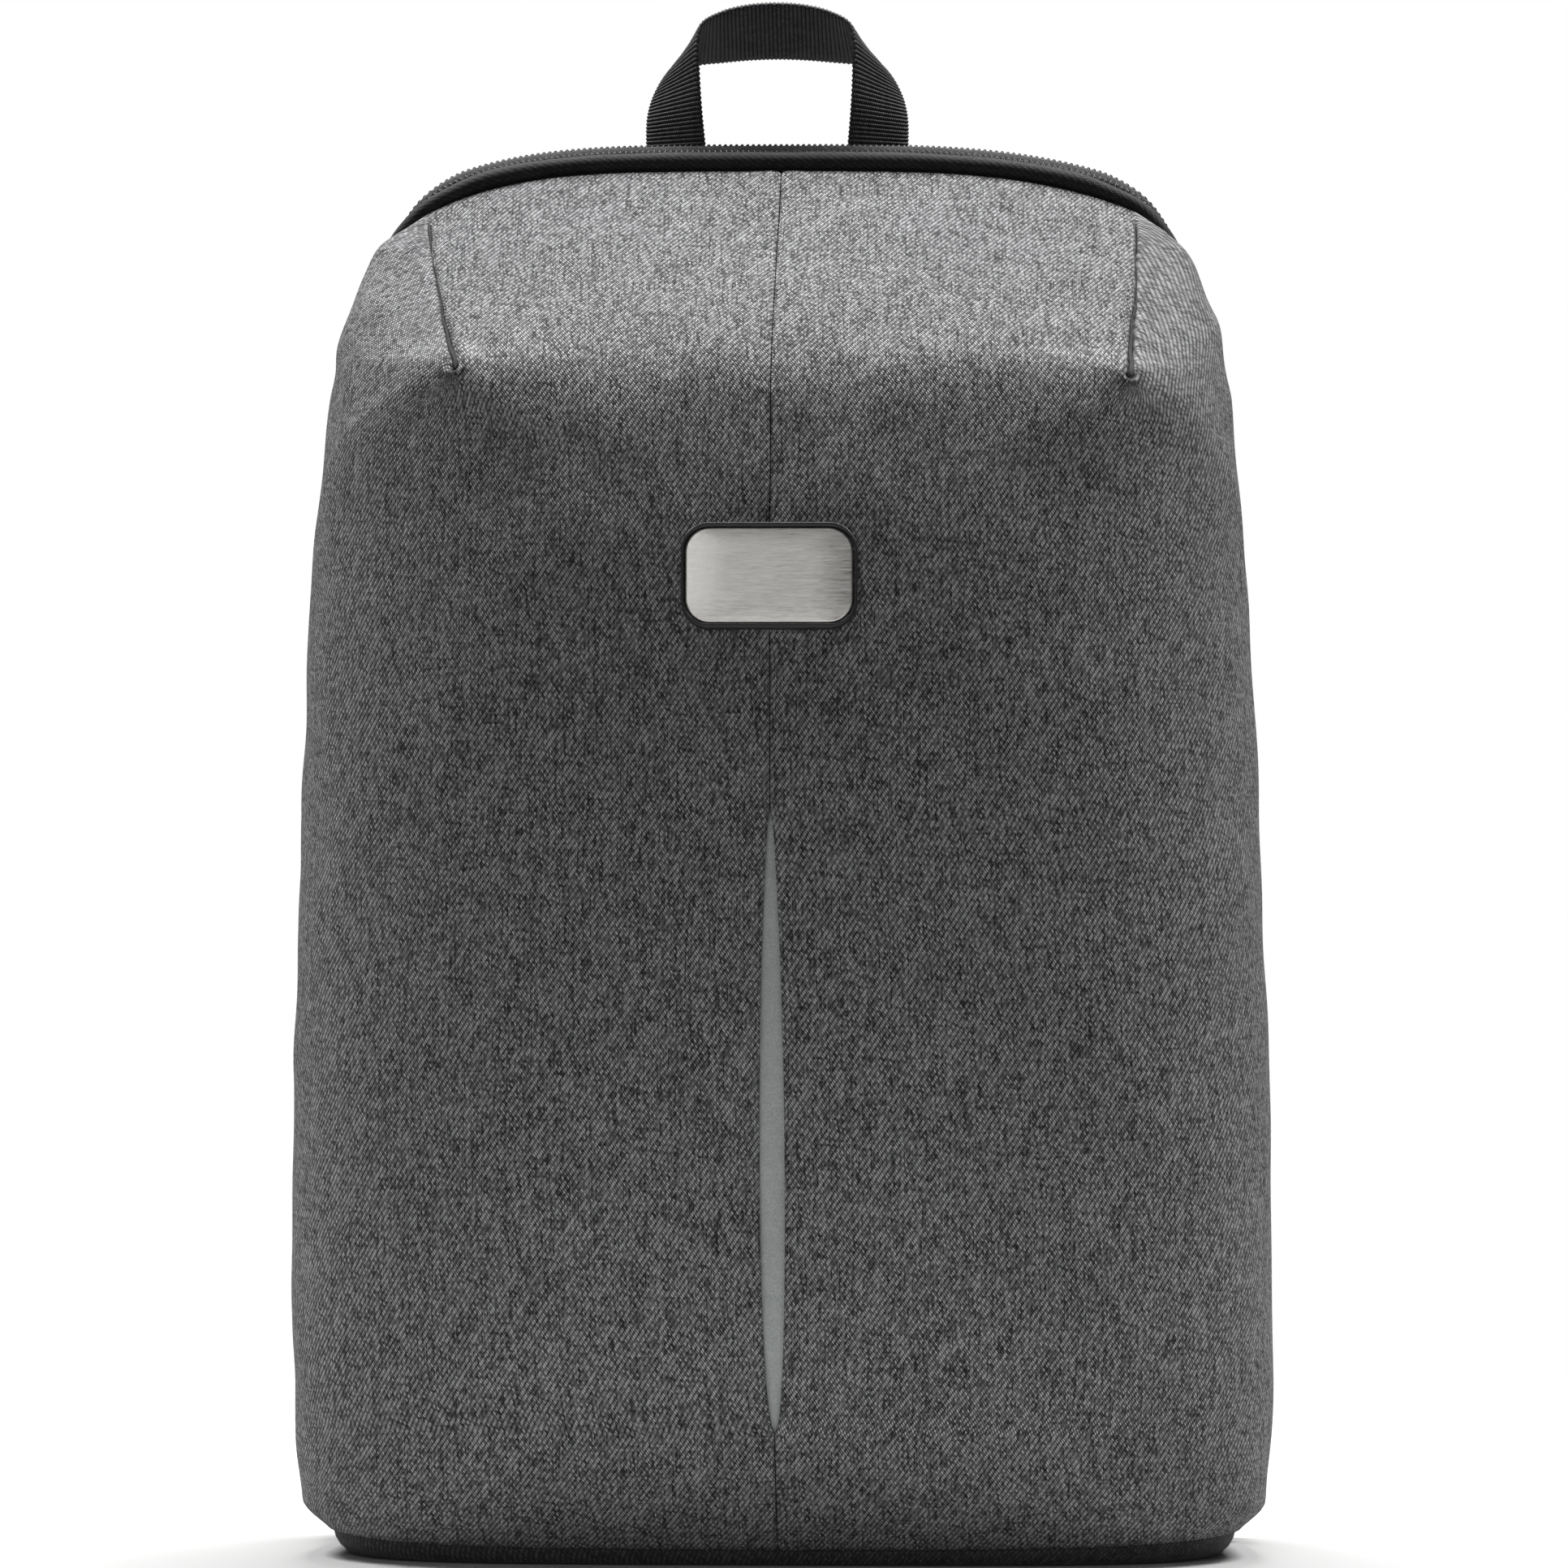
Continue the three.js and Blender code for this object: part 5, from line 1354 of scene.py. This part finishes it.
# %% Pad before the simulation
share_up, share_across = np.meshgrid(np.linspace(0, 1, BACK_ROWS), np.linspace(0, 1, BACK_COLUMNS), indexing="ij")
from_side = np.minimum(share_across, 1 - share_across) * back_width
from_border = np.minimum(from_side, np.minimum(share_up, 1 - share_up) * back_height)
from_channel = np.abs(share_across - 0.5) * back_width - BACK["channel"]
from_channel = np.maximum(from_channel, (np.abs(share_up - 0.5) - CHANNEL_SHARE) * back_height)
from_sewn = np.minimum(from_border - BACK["border"], from_channel)
pad_y = BACK["edge"] + (BACK["crown"] - BACK["edge"]) * ease(from_sewn, 0, PAD_EASE)
pad_start = np.stack([flat_back[..., 0], pad_y, flat_back[..., 1]], axis=-1)


def pad_mesh(name, outer):
    """A closed pad: the outer grid, the same grid flat on the inner side, and a wall between their borders."""
    numbers = np.arange(outer.shape[0] * outer.shape[1]).reshape(outer.shape[:2])
    border = np.concatenate([numbers[0, :-1], numbers[:-1, -1], numbers[-1, :0:-1], numbers[:0:-1, 0]])
    face = grid_quads(*outer.shape[:2], False, False)
    low = border + numbers.size
    wall = np.stack([border, np.roll(border, -1), np.roll(low, -1), low], axis=1)
    quads = np.vstack([face[:, ::-1], face + numbers.size, wall])
    points = outer.reshape(-1, 3)
    points = np.vstack([points, points * [1, 0, 1] + [0, BACK["inner"], 0]])
    mesh = bpy.data.meshes.new(name)
    mesh.from_pydata(place(points).tolist(), [], quads.tolist())
    cloth = points[:, [0, 2]] * np.repeat([1, 1.05], numbers.size)[:, None]
    mesh.uv_layers.new(name="cloth").data.foreach_set("uv", cloth[quads.ravel()].astype(np.float32).ravel())
    return link_mesh(name, mesh), numbers.size


# %% Swell the pad
PAD_FRAMES, PAD_PRESSURE = 20, 4.0
PAD_SLACK = -0.012  # a negative shrinking: the cover is this share too large
PAD_CAP, CAP_LESS = 5.0, 3.2  # the most that the pad may move, and how much less near straps and webbing
STRAP_ROOTS, WEBBING_FEET = (330, 372), (-80, -60)  # heights over which it shrinks, the second downwards


def swollen(outer, sewn):
    """Outer points after a cloth simulation with pressure inside the pad, where sewn points are held."""
    trial, count = pad_mesh("pad_trial", outer)
    held = np.concatenate([np.where(sewn.ravel())[0], np.arange(count, len(trial.data.vertices))])
    trial.vertex_groups.new(name="sewn").add(held.tolist(), 1.0, "REPLACE")
    cloth = trial.modifiers.new("cloth", "CLOTH").settings
    cloth.vertex_group_mass = "sewn"
    cloth.use_pressure, cloth.uniform_pressure_force = True, PAD_PRESSURE
    cloth.effector_weights.gravity = 0
    cloth.shrink_min = PAD_SLACK
    for number in range(1, PAD_FRAMES + 1):
        scene.frame_set(number)
    result = trial.evaluated_get(bpy.context.evaluated_depsgraph_get()).data
    after = np.empty(len(result.vertices) * 3)
    result.vertices.foreach_get("co", after)
    after = 1000 * after.reshape(-1, 3)[:count]
    bpy.data.objects.remove(trial)
    scene.frame_set(1)
    after = np.stack([after[:, 0] + LEAN * after[:, 2] - SEAM_X, after[:, 1] - RIM_Y, after[:, 2]], axis=-1)
    return after.reshape(outer.shape)


pad_points = pad_start
move = swollen(pad_start, from_sewn <= 0) - pad_start
near_root = ease(pad_start[..., 2], *STRAP_ROOTS) + ease(-pad_start[..., 2], *WEBBING_FEET)
cap = PAD_CAP - CAP_LESS * np.minimum(near_root, 1)
size = np.linalg.norm(move, axis=-1)
pad_points = pad_start + move * np.minimum(1, cap / np.maximum(size, 1e-6))[..., None]
print(f"pad swelled by up to {size.max():.1f} mm before the cap")
back_pad, _ = pad_mesh("back_pad", pad_points)
rounded = back_pad.modifiers.new("smooth", "SUBSURF")
rounded.levels = rounded.render_levels = 1
finish_piece(back_pad, black_mesh, "black_mesh", "back_panel")

# %% [markdown]
# ## Stitches
# Stitches hold the pad's border and channel, the straps' edges and the ends of the webbing. A stitch is a short bead of
# thread that is thickest in the middle. One bead of a few faces is set down at even steps along a line on the
# surface, turned along the line, and half sunk into the cloth.

# %% Rows of stitches
BACKWARD = np.array([0, 1.0, 0])
FOOT_BOX = (15, 13)  # width and height of the sewn box on the webbing's foot
STITCH = {"pitch": 3.4, "length": 2.5, "radius": 0.32, "rings": 5, "sides": 6}
thread = grained("black_thread", (0.02, 0.02, 0.021), (0.045, 0.045, 0.047), (0.5, 0.65), fine=8.0)


def stitch_row(name, lines, out):
    """Beads of radius r sqrt(1 - 0.8 t^2) along each of the lines, one for each pitch, flat along the direction out."""
    t, angle = np.meshgrid(np.linspace(-1, 1, STITCH["rings"]), full_turn(STITCH["sides"]), indexing="ij")
    radius = STITCH["radius"] * np.sqrt(1 - 0.8 * t ** 2)
    along, wide, high = (p.ravel() for p in (STITCH["length"] / 2 * t, radius * np.cos(angle), radius * np.sin(angle)))
    lengths = [np.linalg.norm(np.diff(line, axis=0), axis=1).sum() for line in lines]
    spots = [evenly(line, int(length / STITCH["pitch"]) + 2) for line, length in zip(lines, lengths)]
    middle = np.concatenate([(spot[1:] + spot[:-1]) / 2 for spot in spots])
    way = unit(np.concatenate([np.diff(spot, axis=0) for spot in spots]))
    across = unit(np.cross(way, out))
    up = np.cross(across, way)
    points = sum(
        part[None, :, None] * axis[:, None] for part, axis in ((along, way), (wide, across), (high, up))
    ) + middle[:, None]
    return bead_piece(name, points, STITCH["rings"], STITCH["sides"])


def box_lines(put, width, height):
    """The sewn box of a strap's end: a rectangle with both diagonals."""
    a, b = width / 2, height / 2
    corners = put(np.array([-a, a, a, -a, -a]), np.array([-b, -b, b, b, -b]), np.zeros(5))
    return [corners, corners[[0, 2]], corners[[1, 3]]]


back_lines = [
    pad_points[2, 2:-2], pad_points[-3, 2:-2], pad_points[2:-2, 2], pad_points[2:-2, -3],
    pad_points[8:-8, BACK_COLUMNS // 2 - 3], pad_points[8:-8, BACK_COLUMNS // 2 + 3],
]
finish_piece(stitch_row("back_stitches", back_lines, BACKWARD), thread, "black_webbing")

# %% Stitches on the straps
ROOT_ROWS = (0, 3)  # steps of 2 mm from the strap's upper end where a row of stitches crosses it
for half, (sign, _, _) in HALVES.items():
    t, _ = even_shares(lambda t: strap_line(sign, t)[0], 2.0)
    line, _, out, wide = strap_line(sign, t[3:-3])
    inset = strap_size(line[:, 2], STRAP_WIDTH)[:, None] / 2 - 3.1
    lift = out * (1.35 + 0.12 * strap_size(line[:, 2], STRAP_THICK))[:, None]
    lines = [line + wide * edge * inset + lift for edge in (-1, 1)]
    for row in ROOT_ROWS:
        face = line[row] + out[row] * (strap_size(line[row, 2], STRAP_THICK) / 2 + 0.1)
        lines.append(face + np.outer(np.linspace(-0.9, 0.9, 24) * inset[row], wide[row]))
    finish_piece(stitch_row(f"strap_stitches_{half}", lines, out.mean(axis=0)), thread, "black_webbing")
    foot = np.array([sign * WEBBING_FOOT[0], WEBBING_FOOT[1] + WEBBING["thick"] / 2 + 0.15, WEBBING_FOOT[2]])
    up = unit(np.array([-sign * 0.25, 0.02, 1.0]))
    put = on_plane(foot + up * 9, np.array([1.0, 0, sign * 0.25]), up, BACKWARD)
    foot_row = stitch_row(f"foot_stitches_{half}", box_lines(put, *FOOT_BOX), BACKWARD)
    finish_piece(foot_row, thread, "black_webbing")

# %% [markdown]
# ## Painted shade in the darts
# A dart is sewn from inside, and what shows is the dark line of shade where the two folds of cloth meet. A flat,
# nearly black strip in the bottom of the groove paints that shade in. It is an ellipse carried along the dart, narrow
# at the top of the bag and wider towards the rounded end, where the folds open.

# %% Strips of painted shade in the darts
DART_SHADE_TURN = full_turn(10)
DART_SHADE = {"half": 0.3, "wider": 0.55, "opens": 34, "round": 1.5, "high": 0.25}


def dart_shade_strip(half):
    """A nearly black ellipse 0.5 mm high along the dart's line, painted shade in the groove; its half-width grows from
    0.3 mm to 0.85 mm at the lower end.
    """
    line, out = dart_lines[half]
    wide = unit(np.cross(np.gradient(line, axis=0), out))
    run = run_lengths(line)
    half_width = DART_SHADE["half"] + DART_SHADE["wider"] * (1 - ease(run, 0, DART_SHADE["opens"]))
    half_width *= np.sqrt(np.clip(run / DART_SHADE["round"], 0.02, 1))
    sway = 0.35 * np.sin(run / 7 + 1) + 0.2 * np.sin(run / 2.9)
    points = line[:, None] + wide[:, None] * (sway[:, None] + half_width[:, None] * np.cos(DART_SHADE_TURN))[..., None]
    points = points + out[:, None] * (DART_SHADE["high"] * np.sin(DART_SHADE_TURN))[None, :, None]
    return grid_piece(f"dart_shade_strip_{half}", points, tube=True, caps=BOTH_ENDS)


# Painted shade: a nearly black, matt finish for the strip in each dart's groove.
dart_shade_black = grained("dart_shade_black", (0.003, 0.003, 0.003), (0.010, 0.010, 0.010), (0.7, 0.9), fine=8.0)
for half in HALVES:
    finish_piece(dart_shade_strip(half), dart_shade_black, "black_webbing")

# %% [markdown]
# ## Zip slider
# The slider waits at the lower end of the coil, on the left side. Its body is a flat shield that is wider at its upper
# end, a small bridge arches over it, and the pull hangs from the bridge: a rounded frame around a thinner plate.

# %% Slider
SLIDER = {"z": 62, "body": 11, "width": 9, "pull": 26, "pull_width": 6, "thick": 2.2}
COIL_HEIGHT = 3.0  # how far the coil stands up under the slider
row = int(np.argmax(rim[:, 1] > SLIDER["z"]))
tape_height = float(tape_out(np.array([row]), COIL["y"])[0, 0])
lift = tape_height + (TAPE["thick"] / 2 + GAP) * tape_stretch[row] + COIL_HEIGHT + GAP
slider_up = np.array([ahead[row, 0], 0, ahead[row, 1]])
slider_out = np.array([rim_out[row, 0], 0, rim_out[row, 1]])
slider_origin = np.array([rim[row, 0], COIL["y"], rim[row, 1]]) + slider_out * lift
on_slider = on_plane(slider_origin, BACKWARD, slider_up, slider_out)
dark_metal = grained(
    "dark_metal", (0.03, 0.03, 0.032), (0.07, 0.07, 0.073), (0.28, 0.42), fine=3.0, relief=0.01, metal=0.9
)
t, turn = np.meshgrid(np.linspace(0, 1, 15), full_turn(22), indexing="ij")
end = np.sqrt(np.clip(1 - np.abs(2 * t - 1) ** 5, 0.05, 1))
half_width = (SLIDER["width"] / 2 - 1.1 * (1 - ease(t, 0.1, 0.7))) * end
body_points = on_slider(
    half_width * squared(np.cos(turn), 0.7), SLIDER["body"] * t,
    SLIDER["thick"] / 2 * (1 + end * squared(np.sin(turn), 0.7)),
)
finish_piece(grid_piece("slider_body", body_points, tube=True, caps=BOTH_ENDS), dark_metal, "dark_metal", "zip_slider")

# %% Bridge and pull
path_t = np.linspace(0, 1, 25)
bridge = through([(0, 1.6, 1.4), (0, 2.4, 3.2), (0, 5.4, 4.2), (0, 8.4, 3.4), (0, 9.4, 1.6)], path_t)
turn = full_turn(12)
rise = unit(np.gradient(bridge, axis=0))
bridge_points = on_slider(
    (1.3 * np.cos(turn))[None] + 0 * path_t[:, None],
    bridge[:, None, 1] - rise[:, None, 2] * (0.6 * np.sin(turn))[None],
    bridge[:, None, 2] + rise[:, None, 1] * (0.6 * np.sin(turn))[None],
)
finish_piece(grid_piece("slider_bridge", bridge_points, tube=True, caps=BOTH_ENDS), dark_metal, "dark_metal")
pull_middle = on_slider(0.0, -SLIDER["pull"] / 2 + 2.2, 1.5)
on_pull = on_plane(pull_middle, BACKWARD, slider_up, slider_out)
pull_points = rounded_frame(on_pull, SLIDER["pull_width"], SLIDER["pull"] + 2, 2.6, 1.3, 1.6, 1.5)
finish_piece(grid_piece("slider_pull", pull_points, tube=True, ring=True), dark_metal, "dark_metal")
outline, _ = rounded_outline(SLIDER["pull_width"] - 2, SLIDER["pull"] - 8, 1.6, 8)
plate_rings = np.array([(1.0, -0.35), (1.0, 0.3), (0.94, 0.4), (0.4, 0.4)])
flat = plate_rings[:, None, :1] * outline[None]
pull_plate = on_pull(flat[..., 0], flat[..., 1] - 4, np.broadcast_to(plate_rings[:, 1:], flat.shape[:2]))
finish_piece(
    grid_piece("pull_plate", pull_plate, tube=True, caps=BOTH_ENDS, inside=pull_middle - 4 * slider_up),
    satin_black, "black_plastic",
)

# %% [markdown]
# ## Flat sizes of the cloth
# A pattern cutter thinks of these pieces flat. Each sheet is listed with the size of the rectangle that it is cut
# from, and its own area is measured on the grid and printed next to it, which shows how much cloth the bag takes.

def flat_area(piece):
    """Area of a piece's own faces in square metres."""
    area = np.empty(len(piece.data.polygons))
    piece.data.polygons.foreach_get("area", area)
    return float(area.sum())


SHEETS = (
    # piece, width and length of the cut in metres, and what it is stretched over
    (halves["left"], (0.27, 0.49), "back_pad"),
    (halves["right"], (0.27, 0.49), "back_pad"),
    (strip, (0.018, 0.203), "cloth_left"),
    (base, (0.30, 0.135), "back_pad"),
)
for piece, flat, rests_on in SHEETS:
    area = flat_area(piece)
    print(f"{piece.name}: {area:.4f} square metres of {flat[0] * flat[1]:.4f}")
